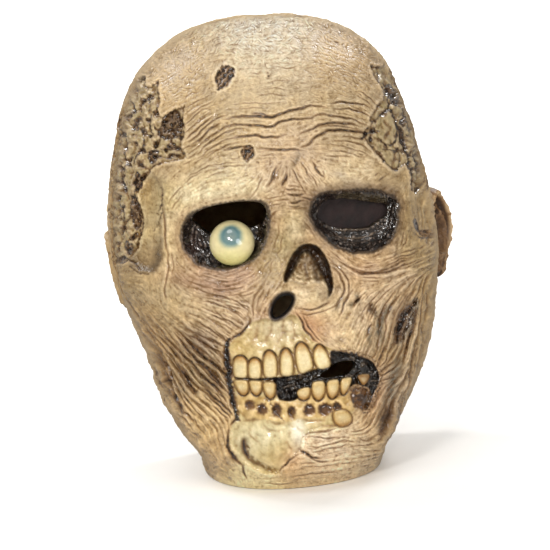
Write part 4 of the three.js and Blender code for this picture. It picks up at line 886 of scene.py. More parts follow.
# broad painted light and shade: lightening, darkening and tint corrections that even out the rendered shading, with
# painted highlights on the chin bone and in the left socket
C *= (1 - 0.06 * sstep(200, 172, GY) * sstep(150, 178, GX) * (1 - gauss(275, 36, 62, 26)) + 0.06 * gauss(152, 232, 22, 36) - 0.10 * gauss(221, 299, 14, 11) - 0.06 * gauss(266, 328, 20, 16))[..., None]
for (x, y, sx, sy), add in (((294, 225, 9, 16), (5, 14, 13)), ((200, 374, 16, 22), (12, 13, 10)), ((201, 432, 14, 16), (12, 10, 5)), ((264, 478, 22, 9), (14, 13, 7)),
                            ((430, 300, 9, 30), (8, 8, 8)), ((205, 342, 12, 12), (0, 2, 10)), ((330, 450, 22, 16), (0, 2, 11)), ((400, 395, 14, 18), (0, 5, 12)), ((299, 436, 5, 13), (16, 20, 30)), ((221, 299, 12, 9), (-7, -9, -7)), ((365, 270, 11, 7), (-7, -9, -4)), ((192, 246, 7, 9), (26, 18, 17)), ((200, 150, 13, 13), (14, 14, 12)), ((352, 175, 16, 8), (6, 7, 7)), ((215, 278, 12, 6), (4, 7, 7)), ((276, 330, 20, 12), (0, 1, 10)), ((268, 430, 16, 18), (2, 6, 8)), ((200, 374, 14, 18), (4, 6, 5))):
    C += (gauss(x, y, sx, sy) * (1 - soft(DK)))[..., None] * np.array(add, f32)
R -= 0.14 * gauss(299, 436, 7, 15) + 0.08 * gauss(262, 428, 26, 18)
LIN = 0.70 * (C / 255.0) ** 2.2
LIN = np.stack([blur(LIN[..., i], 0.34) for i in range(3)], -1); HD = blur(HD, 0.28)

# ------------------------------------------------------------------ the latex skin as one closed mesh
def sample(A, X, Y):
    fx = np.clip((X - X0) * S, 0, SHAPE[1] - 1.001); fy = np.clip((Y - Y0) * S, 0, SHAPE[0] - 1.001)
    i, j = fy.astype(int), fx.astype(int); a = (fy - i); b = (fx - j)
    if A.ndim == 3:
        a, b = a[..., None], b[..., None]
    return (A[i, j] * (1 - b) + A[i, j + 1] * b) * (1 - a) + (A[i + 1, j] * (1 - b) + A[i + 1, j + 1] * b) * a


def spaced(f, lo, hi, pitch, n=6000):
    """places from lo to hi whose spacing along f follows pitch(place)"""
    t = np.linspace(lo, hi, n); d = np.linalg.norm(np.diff(f(t), axis=0), axis=1)
    m = 0.5 * (t[1:] + t[:-1]); c = np.r_[0, np.cumsum(d / pitch(m))]
    k = int(round(c[-1])); return np.interp(np.linspace(0, c[-1], k + 1), c, t)


U = spaced(lambda t: head(t, np.full(t.shape, 9.0 / NR)) + 0.0, -math.pi, math.pi,
           lambda t: RES * (1 + 2.3 * sstep(1.45, 1.85, np.abs(t))) * (1 - 0.62 * sstep(math.pi - 0.10, math.pi - 0.04, np.abs(t))))[:-1]
V = spaced(lambda t: head(np.full(t.shape, 0.0), t), 0.012, 1.0,
           lambda t: RES * (1 + 0.55 * sstep(5.2 / NR, 3.0 / NR, t)))
NU, NV = len(U), len(V)
UU, VV = np.meshgrid(U, V)
P0, N0, MX, MY, FACE, TOE = frame_of(UU, VV)
Z0 = P0[..., 2]
N0[..., 2] *= sstep(0, 22, Z0); N0 /= np.linalg.norm(N0, axis=-1, keepdims=True)
TOE = TOE.copy(); TOE[..., 2] *= sstep(0, 14, Z0); TOE /= np.linalg.norm(TOE, axis=-1, keepdims=True)
k = sstep(0.15, 0.6, FACE)[..., None]; D0 = N0 * (1 - k) + TOE * k; D0 /= np.linalg.norm(D0, axis=-1, keepdims=True)
W = sstep(0.06, 0.27, FACE) * sstep(X0 + 1, X0 + 6, MX) * sstep(X1 - 1, X1 - 6, MX)
rimfade = sstep(0, 14, Z0)
hm = sample(HM, MX, MY) * W * rimfade; hd = sample(HD, MX, MY) * W * sstep(0, 5, Z0)
# sides and back
OW = 1 - W
x, y, z = P0[..., 0], P0[..., 1], P0[..., 2]
back = sstep(20, 70, y)
wr = fbm(P0 * np.array([1, 1, 1.9]), 0.030, 4, 3); fine = fbm(P0, 0.16, 3, 9); PW = P0 * np.array([1, 1, 3.0]); PW[..., 2] += 9 * wr + 0.22 * P0[..., 1]
strk = vnoise(PW, 0.13, 17) * 0.8 + vnoise(PW, 0.27, 19) * 0.7 + vnoise(PW, 0.55, 27) * 0.45
wr, fine, strk = 0.42 * wr / wr.std(), 0.36 * fine / fine.std(), strk / strk.std()
AM3 = 0.20 + 0.40 * soft(0.25 + 0.9 * vnoise(P0, 0.02, 29) / 0.35 * 0.5) + 0.25 * sstep(120, 60, z) * sstep(60, 0, y)
h3 = 0.5 * wr + 0.16 * fine + AM3 * 0.55 * np.clip(strk, -2.4, 2.2)
folds = np.sin((z + 7 * vnoise(P0, 0.018, 23) + 0.0012 * x * x) * 2 * math.pi / 15.0)
fm = sstep(112, 60, z) * sstep(-20, 30, y) * sstep(2, 16, z)
h3 += fm * (1.5 * folds - 0.5)
q = np.stack([P0[..., 1], P0[..., 2]], -1)
a3, b3, c3 = worley(y * 0.7 + x * 0.6 + 2.4 * fine + 400, z + 2.4 * wr + 400, 5.6, 51); a4, b4, c4 = worley(y * 0.7 + x * 0.6 + 90 + 1.2 * fine, z + 60, 2.7, 52)
region = lambda cx, cy, cz, sx, sy, sz, lo=0.52: sstep(lo + 0.06, lo + 0.14, np.exp(-0.5 * (((x - cx) / sx) ** 2 + ((y - cy) / sy) ** 2 + ((z - cz) / sz) ** 2)) + 0.17 * wr + 0.05 * fine)
rot3 = np.maximum.reduce([region(-92, -22, 205, 40, 26, 34), region(-100, -30, 150, 30, 20, 40), region(86, -28, 205, 34, 26, 30),
                          region(40, 104, 196, 26, 26, 20), region(-52, 92, 120, 18, 26, 14), region(96, 58, 92, 22, 18, 15)])
edge3 = (1 - sstep(0.04, 0.30, b3 - a3)); edge4 = (1 - sstep(0.04, 0.34, b4 - a4))
h3 += rot3 * (-1.2 + 1.0 * (0.55 - a3) - 0.7 * edge3 * soft(0.5 + 0.8 * wr) - 0.3 * edge4)
rim3 = np.exp(-((rot3 - 0.16) / 0.16) ** 2) * (rot3 > 0.01); h3 += 0.35 * rim3
# the worn stump of the ear on the -X side
er = np.sqrt(((y - 12) / 10.5) ** 2 + ((z - 133) / 19) ** 2) * (1 + 0.16 * wr + 0.10 * fine) + 0.05 * np.sin(7 * np.arctan2(z - 133, y - 12))
st = sstep(0.98, 0.62, er) * (x < 0); ring = np.exp(-((er - 1.12) / 0.15) ** 2) * (x < 0)
h3 += 2.6 * ring - 3.2 * st + st * (1.2 * (0.5 - a4) - 0.6 * edge4 + 0.5 * fine)
hd = hd + OW * h3 * sstep(0, 5, z)
dark3 = np.clip(rot3 * np.maximum(0.9 * edge3 * soft(0.45 + 0.9 * wr), 0.55 * edge4) + 0.8 * rim3 * soft(0.6 + 1.2 * fine)
                + AM3 * 1.0 * sstep(0.3, 2.2, -strk) + fm * 0.55 * sstep(0.3, 1.0, -folds) + st * (0.62 + 0.5 * edge4 - 0.5 * soft(2 * fine)) + 0.4 * sstep(0.8, 1.7, -wr), 0, 1)
tan3 = np.array([190, 160, 116.]) + (wr * 13)[..., None] * np.array([1, .95, .85]) + (fine * 11)[..., None] + (9 * AM3 * np.clip(strk, -2, 2))[..., None]
# painted highlight: lighter towards the crown
tan3 = tan3 + (16 * sstep(215, 270, z))[..., None] * np.array([1, 1, .9])
tan3 = tan3 + (rot3 * 1.0)[..., None] * (np.array([168, 142, 100.]) - tan3) + ((c3 - .5) * 10 * rot3)[..., None]
tan3 = tan3 + (0.35 * sstep(60, 5, z))[..., None] * (np.array([176, 148, 108.]) - tan3)
tan3 = tan3 + (0.7 * sstep(0.10, 0.5, dark3))[..., None] * (np.array(BROWN) - tan3)
tan3 = tan3 + (0.9 * sstep(0.40, 0.85, dark3))[..., None] * (np.array(DARK) - tan3)
lin3 = 0.70 * (np.clip(tan3, 4, 250) / 255) ** 2.2
COL = sample(LIN, MX, MY) * W[..., None] + lin3 * OW[..., None]
ROU = sample(R, MX, MY) * W + (0.40 - 0.12 * dark3) * OW + 0.04 * fine * OW
# outer surface, and the place of the false eye
OUT = P0 + D0 * (hm + hd)[..., None]
OUT[-1, :, 2] = 0.0
BALL = np.array([-34.2, -95.1, 151.9]); BALL_R = 13.3
v = OUT - BALL; dist = np.linalg.norm(v, axis=-1, keepdims=True)
px_, py_ = chart(OUT); near = (np.hypot(px_ - 230, py_ - 245) < 26) & (dist[..., 0] < 24)
# inner surface, one skin thickness behind the smooth form
HIN = blur(HM + np.minimum(blur(HD, 1.5), 0.0), 1.8)
hin = sample(HIN, MX, MY) * W * rimfade + OW * np.minimum(h3, 0) * 0.4 * sstep(0, 5, z)
MID = P0 + D0 * hin[..., None]
s_r = max(1, int(round(1.6 / RES))); du_ = np.roll(MID, -s_r, 1) - np.roll(MID, s_r, 1)
dv_ = np.empty_like(MID); dv_[s_r:-s_r] = MID[2 * s_r:] - MID[:-2 * s_r]; dv_[:s_r] = MID[s_r:2 * s_r] - MID[:s_r]; dv_[-s_r:] = MID[-s_r:] - MID[-2 * s_r:-s_r]
NIN = np.cross(du_, dv_); NIN /= np.maximum(np.linalg.norm(NIN, axis=-1, keepdims=True), 1e-9)
sg_ = np.sign((NIN * N0).sum(-1, keepdims=True)); NIN *= np.where(sg_ == 0, 1, sg_)
kc = sstep(6.0, 2.0, np.arange(NV) * RES / 4.0)[:, None, None]; NIN = NIN * (1 - kc) + N0 * kc
NIN[..., 2] *= sstep(0, 10, z); NIN /= np.linalg.norm(NIN, axis=-1, keepdims=True)
CAVE = np.maximum.reduce([sstep(-3, 1, m_) for m_ in (sSL, sSR, sNA, sNO, sMO)]); cave = sample(CAVE, MX, MY) * W
INN = MID - NIN * (SKIN * (1 + 0.45 * cave))[..., None]; INN[-1, :, 2] = 0.0

# openings: the cells inside an outline go, and the edge left is drawn onto the outline
FRONT = FACE > 0.2
HOLE = np.maximum.reduce([sHL, sHR, sNO - 2.6, sMS])
hole = np.where(FRONT, sample(HOLE, MX, MY), -16.0)
gy_, gx_ = np.gradient(HOLE); gx_ *= S; gy_ *= S
slit = np.maximum(SLIT_W / 2 - np.abs(x) - 0.0 * z, -99.0); slit = np.where(z < SLIT_TOP, slit, -np.hypot(x, z - SLIT_TOP) + SLIT_W / 2)
slit = np.maximum(slit, SLIT_R - np.hypot(x, z - SLIT_TOP)); slit = np.where(y > 40, slit, -99.0)


def quad(A):  # value at cell centres, columns wrap
    B = np.roll(A, -1, 1); return 0.25 * (A[:-1] + A[1:] + B[:-1] + B[1:])


gone = (quad(hole) > 0) | (quad(slit) > 0)
live = ~gone
# vertices on the edge of an opening
tv = np.zeros((NV, NU), bool); tl = np.zeros((NV, NU), bool)
for dr in (0, 1):
    for dc in (0, 1):
        tv[dr:NV - 1 + dr] |= np.roll(gone, dc, 1); tl[dr:NV - 1 + dr] |= np.roll(live, dc, 1)
edgev = tv & tl
eh = edgev & (hole > -4)
sx, sy = sample(gx_, MX, MY), sample(gy_, MX, MY); gl = np.maximum(np.hypot(sx, sy), 0.3)
dX, dY = -hole * sx / gl ** 2, -hole * sy / gl ** 2
lim = np.hypot(dX, dY); f = np.minimum(1, 2.5 / np.maximum(lim, 1e-6)); dX *= f; dY *= f
for A in (OUT, INN):
    wdt = (A - EYE) @ FW
    A[eh] += ((dX * wdt / FL)[..., None] * CR - (dY * wdt / FL)[..., None] * CU)[eh]
es = edgev & (hole <= -4) & (y > 40) & (z > 0.5)
sxv = np.where(z < SLIT_TOP - 1.5, np.sign(x) * SLIT_W / 2 - x, 0.0)
rr_ = np.hypot(x, z - SLIT_TOP); ang_s = np.arctan2(z - SLIT_TOP, x)
circ = (rr_ < SLIT_R + 2.2) & (z > SLIT_TOP - 2.8)
sxv = np.where(circ, (SLIT_R - rr_) * np.cos(ang_s), sxv); szv = np.where(circ, (SLIT_R - rr_) * np.sin(ang_s), 0.0)
es2 = edgev & (y > 40) & (hole <= -4)
for A in (OUT, INN):
    A[..., 0] += np.where(es2, sxv, 0); A[..., 2] += np.where(es2 & (z > 0.5), szv, 0)

ids = np.full((2, NV, NU), -1, np.int64)
use = tl.copy()
faces = []
# inner blocks of 4 x 4 cells
B4 = 4
nb_r, nb_c = (NV - 1) // B4, NU // B4
full = live[:nb_r * B4, :nb_c * B4].reshape(nb_r, B4, nb_c, B4).all((1, 3))
f2 = full.copy()
f2[1:] &= full[:-1]; f2[:-1] &= full[1:]
f2[:, 1:] &= full[:, :-1]; f2[:, :-1] &= full[:, 1:]
f2[0] = False; f2[-1] = False; f2[:, 0] = False; f2[:, -1] = False
coarse = f2
nfine = np.ones((NV - 1, NU), bool)
nfine[:nb_r * B4, :nb_c * B4] = ~np.repeat(np.repeat(coarse, B4, 0), B4, 1)
nfine &= live
used_in = np.zeros((NV, NU), bool)
for dr in (0, 1):
    for dc in (0, 1):
        used_in[dr:NV - 1 + dr] |= np.roll(nfine, dc, 1)
cr_i, cc_i = np.nonzero(coarse)
for dr in (0, B4):
    for dc in (0, B4):
        used_in[cr_i * B4 + dr, (cc_i * B4 + dc) % NU] = True
nout = int(use.sum()); ids[0][use] = np.arange(nout)
ninn = int(used_in.sum()); ids[1][used_in] = nout + np.arange(ninn)
verts = np.concatenate([OUT[use], INN[used_in]])
rI, cI = np.nonzero(live); c2 = (cI + 1) % NU; o = ids[0]
Fo = np.stack([o[rI, cI], o[rI + 1, cI], o[rI + 1, c2], o[rI, c2]], 1)
rF, cF = np.nonzero(nfine); c2f = (cF + 1) % NU; n_ = ids[1]
Fi = np.stack([n_[rF, cF], n_[rF, c2f], n_[rF + 1, c2f], n_[rF + 1, cF]], 1)
quads = [Fo, Fi]
# coarse inner faces, with the fine neighbours' corners in their outline
polys = []
for r, c in zip(cr_i, cc_i):
    a, b = r * B4, c * B4; L = []
    top, bot = coarse[r - 1, c], coarse[r + 1, c]; lef, rig = coarse[r, c - 1], coarse[r, c + 1]
    L.append(n_[a, b])
    if not top:
        L += [n_[a, b + i] for i in range(1, B4)]
    L.append(n_[a, b + B4])
    if not rig:
        L += [n_[a + i, b + B4] for i in range(1, B4)]
    L.append(n_[a + B4, b + B4])
    if not bot:
        L += [n_[a + B4, b + i] for i in range(B4 - 1, 0, -1)]
    L.append(n_[a + B4, b])
    if not lef:
        L += [n_[a + i, b] for i in range(B4 - 1, 0, -1)]
    polys.append(L)
# walls at the rim, openings and slit
walls = []
lr = live
r, c = np.nonzero(lr[1:] & ~lr[:-1]); r += 1            # edge above a live cell
walls.append((r, c, r, (c + 1) % NU, 1))
r, c = np.nonzero(lr[:-1] & ~lr[1:])                    # edge below
walls.append((r + 1, (c + 1) % NU, r + 1, c, 1))
r = np.full(int(lr[-1].sum()), NV - 2); c = np.nonzero(lr[-1])[0]
walls.append((r + 1, (c + 1) % NU, r + 1, c, 1))        # neck rim
lft = lr & ~np.roll(lr, 1, 1); r, c = np.nonzero(lft); walls.append((r + 1, c, r, c, 1))
rgt = lr & ~np.roll(lr, -1, 1); r, c = np.nonzero(rgt); walls.append((r, (c + 1) % NU, r + 1, (c + 1) % NU, 1))
for r1, c1, r2, c2_, _ in walls:
    quads.append(np.stack([o[r1, c1], o[r2, c2_], n_[r2, c2_], n_[r1, c1]], 1))
Q4 = np.concatenate(quads)
# caps on the crown
top_o = len(verts); top_i = top_o + 1
verts = np.concatenate([verts, [OUT[0].mean(0) + [0, 0, 0.0], INN[0].mean(0)]])
cc_ = np.arange(NU); tri = np.concatenate([np.stack([np.full(NU, top_o), o[0, cc_], o[0, (cc_ + 1) % NU]], 1),
                                           np.stack([np.full(NU, top_i), n_[0, (cc_ + 1) % NU], n_[0, cc_]], 1)])
loops = np.concatenate([Q4.ravel(), tri.ravel(), np.array([i for L in polys for i in L], np.int64)]).astype(np.int32)
sizes = np.concatenate([np.full(len(Q4), 4), np.full(len(tri), 3), np.array([len(L) for L in polys], np.int64)]).astype(np.int32)
starts = np.r_[0, np.cumsum(sizes)[:-1]].astype(np.int32)
me = bpy.data.meshes.new("latex_head")
me.vertices.add(len(verts)); me.vertices.foreach_set("co", (verts / 1000).astype(f32).ravel())
me.loops.add(len(loops)); me.loops.foreach_set("vertex_index", loops)
me.polygons.add(len(sizes)); me.polygons.foreach_set("loop_start", starts); me.polygons.foreach_set("loop_total", sizes)
me.polygons.foreach_set("use_smooth", np.ones(len(sizes), bool))
me.update(calc_edges=True); me.validate()
inner_col = (np.array([186, 160, 122.]) / 255) ** 2.2
# painted shade: the inner face is painted dark near the openings, where it is seen in shadow through them
vc = np.concatenate([COL[use], np.tile(inner_col, (ninn, 1)) * (1 + 0.06 * fine[used_in][:, None]) * (1 - 0.93 * cave[used_in][:, None]), [COL[0].mean(0)], [inner_col]])
vr = np.concatenate([ROU[use], np.full(ninn, 0.6), [0.45], [0.6]])
inside = np.concatenate([np.zeros(nout), 1 - cave[used_in], [0], [1]])
ca = me.color_attributes.new("Paint", "FLOAT_COLOR", "POINT")
ca.data.foreach_set("color", np.concatenate([vc, np.ones((len(vc), 1))], 1).astype(f32).ravel())
for nm, arr in (("Gloss", vr), ("Inside", inside)):
    at = me.attributes.new(nm, "FLOAT", "POINT"); at.data.foreach_set("value", arr.astype(f32))
# unwrapped by column and row: outer above, inner in a strip below
uo = np.zeros((len(verts), 2)); cu, rv = np.meshgrid(np.arange(NU) / NU, np.arange(NV) / (NV - 1))
uo[:nout] = np.stack([cu[use], 1 - 0.84 * rv[use]], 1); uo[nout:nout + ninn] = np.stack([cu[used_in], 0.14 - 0.14 * rv[used_in]], 1)
uo[top_o] = (0.5, 1.0); uo[top_i] = (0.5, 0.15)
uv = me.uv_layers.new(name="OFBake"); lu = uo[loops].copy()
st_ = np.repeat(starts, sizes); u0 = uo[loops[st_], 0]
lu[:, 0] = np.where(lu[:, 0] - u0 < -0.5, lu[:, 0] + 1, np.where(lu[:, 0] - u0 > 0.5, lu[:, 0] - 1, lu[:, 0])); lu[:, 0] = np.clip(lu[:, 0], 0, 1)
uv.data.foreach_set("uv", lu.astype(f32).ravel())
HEAD = bpy.data.objects.new("latex_head", me); bpy.context.scene.collection.objects.link(HEAD)
print("skin", NU, NV, len(verts), len(sizes))


# ------------------------------------------------------------------ small mesh helper
def build(name, V_, F_, col=None, rgh=None):
    m = bpy.data.meshes.new(name); m.from_pydata([tuple(p) for p in np.asarray(V_) / 1000.0], [], [tuple(int(i) for i in f_) for f_ in F_])
    m.polygons.foreach_set("use_smooth", np.ones(len(m.polygons), bool)); m.update(); m.validate()
    if col is not None:
        c_ = m.color_attributes.new("Paint", "FLOAT_COLOR", "POINT")
        c_.data.foreach_set("color", np.concatenate([col, np.ones((len(col), 1))], 1).astype(f32).ravel())
    if rgh is not None:
        a_ = m.attributes.new("Gloss", "FLOAT", "POINT"); a_.data.foreach_set("value", np.asarray(rgh, f32))
        a_ = m.attributes.new("Inside", "FLOAT", "POINT"); a_.data.foreach_set("value", np.zeros(len(rgh), f32))
    ob = bpy.data.objects.new(name, m); bpy.context.scene.collection.objects.link(ob); return ob


# ------------------------------------------------------------------ the ear left on the +X side
def make_ear():
    nt, nr = ((200, 60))
    th = np.arange(nt) / nt * 2 * math.pi; rr = np.linspace(0, 1, nr + 1)[1:]
    T, Rr = np.meshgrid(th, rr)
    rad_p = 14.2 * np.where(np.cos(T) > 0, 1.0 + 0.22 * np.sin(T), 1.0 - 0.10 * np.abs(np.sin(T)))
    rag = 1 + 0.018 * np.sin(5 * T + 1) + 0.012 * np.sin(11 * T)
    p = rad_p * np.cos(T) * Rr * rag; q_ = 28.6 * np.sin(T) * Rr * rag
    al = 30 * RAD; lean = 5 * RAD
    A = np.array([math.sin(al), math.cos(al), 0]); Nn = np.array([math.cos(al), -math.sin(al), 0]); Uu = np.array([0, 0, 1.0])
    A, Uu = A * math.cos(lean) + Uu * math.sin(lean), Uu * math.cos(lean) - A * math.sin(lean)
    ctr = np.array([105.3, 12.0, 133.5])
    pos = np.stack([p, q_, Rr * 6], -1); n1 = fbm(pos, 0.16, 3, 31); n2 = fbm(pos, 0.5, 2, 33)
    s_ = np.sin(T); c_ = np.cos(T)
    helix = (0.35 + 0.65 * sstep(-0.75, -0.2, s_)) * np.exp(-((Rr - 0.885) / 0.085) ** 2)
    scapha = np.exp(-((Rr - 0.72) / 0.075) ** 2) * sstep(-0.6, 0.0, s_)
    anti = np.exp(-((np.hypot((p - 1.5) / 9.0, (q_ + 1.0) / 17.0) - 0.82) / 0.16) ** 2) * sstep(-10, 0, p + 3)
    crus = np.exp(-(((q_ - 3.5) + 0.35 * (p + 10)) / 2.2) ** 2) * sstep(2, -6, p) * sstep(-14, -9, p)
    concha = np.exp(-(((p + 4.2) / 6.2) ** 2 + ((q_ + 3.5) / 8.5) ** 2) ** 1.4)
    foss = np.exp(-(((p - 0.5) / 4.2) ** 2 + ((q_ - 14.0) / 4.5) ** 2))
    trag = np.exp(-(((p + 11.0) / 3.0) ** 2 + ((q_ + 4.0) / 4.5) ** 2)); antit = np.exp(-(((p + 1.5) / 3.6) ** 2 + ((q_ + 13.5) / 2.8) ** 2))
    lobe = np.exp(-(((p + 3) / 6) ** 2 + ((q_ + 22) / 5) ** 2))
    edge = np.sqrt(np.maximum(1 - np.clip((Rr - 0.86) / 0.14, 0, 1) ** 2, 0))
    h = 1.0 + 0.5 * n2 + 3.0 * helix - 1.6 * scapha + 2.0 * anti + 1.4 * crus - 5.2 * concha - 1.4 * foss + 2.6 * trag + 1.7 * antit + 0.8 * lobe + 0.5 * n1 + 0.18 * n2
    front = (h + 1.6) * edge - 1.6; backh = -1.6 - 2.6 * edge - 0.5 * n1 * edge - 1.5 * (1 - Rr)
    cup = 0.018 * p * p * (p > 0)
    place = lambda p_, q2, hh: ctr + p_[..., None] * A + q2[..., None] * Uu + (hh + cup)[..., None] * Nn
    Fp, Bp = place(p, q_, front), place(p, q_, backh)
    c0 = place(np.zeros(1), np.zeros(1), np.zeros(1))[0] if False else Fp[0].mean(0); cb = Bp[0].mean(0)
    VV_ = np.concatenate([Fp.reshape(-1, 3), Bp[:-1].reshape(-1, 3), [c0, cb]]); n = nr * nt; F_ = []
    fi = lambda i, j: i * nt + j % nt
    bi = lambda i, j: (n + i * nt + j % nt) if i < nr - 1 else i * nt + j % nt
    for i in range(nr - 1):
        for j in range(nt):
            F_.append((fi(i, j), fi(i + 1, j), fi(i + 1, j + 1), fi(i, j + 1))); F_.append((bi(i, j), bi(i, j + 1), bi(i + 1, j + 1), bi(i + 1, j)))
    for j in range(nt):
        F_.append((len(VV_) - 2, fi(0, j), fi(0, j + 1))); F_.append((len(VV_) - 1, bi(0, j + 1), bi(0, j)))
    # painted shade: dark paint in the ear's hollows (concha, scapha, fossa and just inside the helix), with dark
    # mottling from the noise
    dk = np.clip(1.1 * concha + 0.85 * scapha + 0.85 * foss + 0.55 * sstep(0.05, 0.6, -n1) + 0.4 * sstep(0.1, 0.5, -n2) + 0.5 * sstep(0.99, 0.9, Rr) * 0 - 0.3 * helix, 0, 1)
    dk = np.maximum(dk, 0.75 * np.exp(-((Rr - 0.79) / 0.03) ** 2) * sstep(-0.6, 0.0, s_)); dk = np.maximum(dk, (0.50 + 0.25 * n1 - 0.22 * anti - 0.2 * trag) * sstep(0.85, 0.76, Rr)); dk = np.clip(np.maximum(dk, 0.42 * sstep(0.25, 0.6, n2 + 0.5 * n1)), 0, 1)
    # painted highlight: the raised parts (helix, antihelix, tragus, lobe) are painted lighter, most along the helix
    base = np.array([158, 126, 86.]) + 34 * (helix + 0.7 * anti + 0.6 * trag + 0.5 * lobe)[..., None] + 8 * n1[..., None] + 6 * n2[..., None]
    base = base + (0.8 * sstep(0.1, 0.5, dk))[..., None] * (np.array(BROWN) - base); base = base + (0.92 * sstep(0.4, 0.85, dk))[..., None] * (np.array(DARK) - base)
    base = base + (26 * sstep(0.45, 0.9, helix))[..., None] * np.array([1, .92, .74])
    bb = np.tile(np.array([152, 122, 84.]), (nt * (nr - 1), 1)) + 8 * n1[:-1].reshape(-1, 1)
    col = (np.clip(np.concatenate([base.reshape(-1, 3), bb, base[0].mean(0)[None], bb[:1]]), 5, 250) / 255) ** 2.2 * 0.70
    return build("latex_ear", VV_, F_, col, np.full(len(col), 0.42))


EAR = make_ear()


# ------------------------------------------------------------------ the false eye
def make_ball():
    toe = EYE - BALL; toe /= np.linalg.norm(toe)
    up = CU - toe * (CU @ toe); up /= np.linalg.norm(up); rt = np.cross(up, toe)
    k1, k2 = 7.0 / 21.5, -1.2 / 21.5; ax = toe * math.sqrt(1 - k1 * k1 - k2 * k2) + up * k1 + rt * k2
    bx = np.cross([0, 0, 1.0], ax); bx /= np.linalg.norm(bx); by = np.cross(ax, bx)
    nt, nr = ((180, 110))
    ph = np.linspace(0, math.pi, nr + 1)[1:-1]; th = np.arange(nt) / nt * 2 * math.pi; T, Ph = np.meshgrid(th, ph)
    n = np.sin(Ph)[..., None] * (np.cos(T)[..., None] * bx + np.sin(T)[..., None] * by) + np.cos(Ph)[..., None] * ax
    deg = Ph / RAD; nn = fbm(n * 10, 0.35, 3, 61); n2 = fbm(n * 10, 1.3, 2, 63)
    r = BALL_R + 0.32 * sstep(34, 8, deg) + 0.03 * nn
    Pp = BALL + n * r[..., None]
    F_ = [(i * nt + j, (i + 1) * nt + j, (i + 1) * nt + (j + 1) % nt, i * nt + (j + 1) % nt) for i in range(nr - 2) for j in range(nt)]
    V_ = np.concatenate([Pp.reshape(-1, 3), [BALL + ax * (BALL_R + 0.32), BALL - ax * BALL_R]])
    a_ = len(V_) - 2; F_ += [(a_, j, (j + 1) % nt) for j in range(nt)] + [(a_ + 1, (nr - 2) * nt + (j + 1) % nt, (nr - 2) * nt + j) for j in range(nt)]
    col = np.tile(np.array([232, 217, 164.]), T.shape + (1,))
    low = n @ up
    col += sstep(-0.1, -0.9, low)[..., None] * np.array([-22, -16, -34.]) + (5 * nn)[..., None]
    d = deg + 1.6 * nn
    def put(c, m):
        nonlocal col
        col = col + (np.array(c, float) - col) * np.clip(m, 0, 1)[..., None]
    put((170, 176, 146), 0.6 * sstep(42, 28, d)); put((104, 134, 134), 0.92 * sstep(35, 20, d)); put((66, 102, 110), 0.7 * np.exp(-((d - 19) / 5.0) ** 2) * (0.35 + 0.65 * sstep(-0.3, 0.9, np.sin(T))))
    put((112, 130, 128), 0.8 * sstep(18, 8, d)); put((136, 146, 138), 0.5 * sstep(22, 8, d) * sstep(0.2, -0.8, np.sin(T))); put((96, 124, 128), 0.35 * sstep(0.2, 1.0, np.abs(np.sin(T * 19 + 2 * n2))) * sstep(26, 20, d) * sstep(8, 12, d))
    put((160, 84, 60), 0.16 * sstep(0.25, 0.9, n2) * sstep(38, 70, deg))
    col = np.concatenate([col.reshape(-1, 3), [[150, 170, 166]], [[200, 186, 140]]])
    ob = build("false_eye", V_, F_, (np.clip(col, 5, 250) / 255) ** 2.2 * 0.74, np.full(len(V_), 0.12)); return ob


EYEB = make_ball()


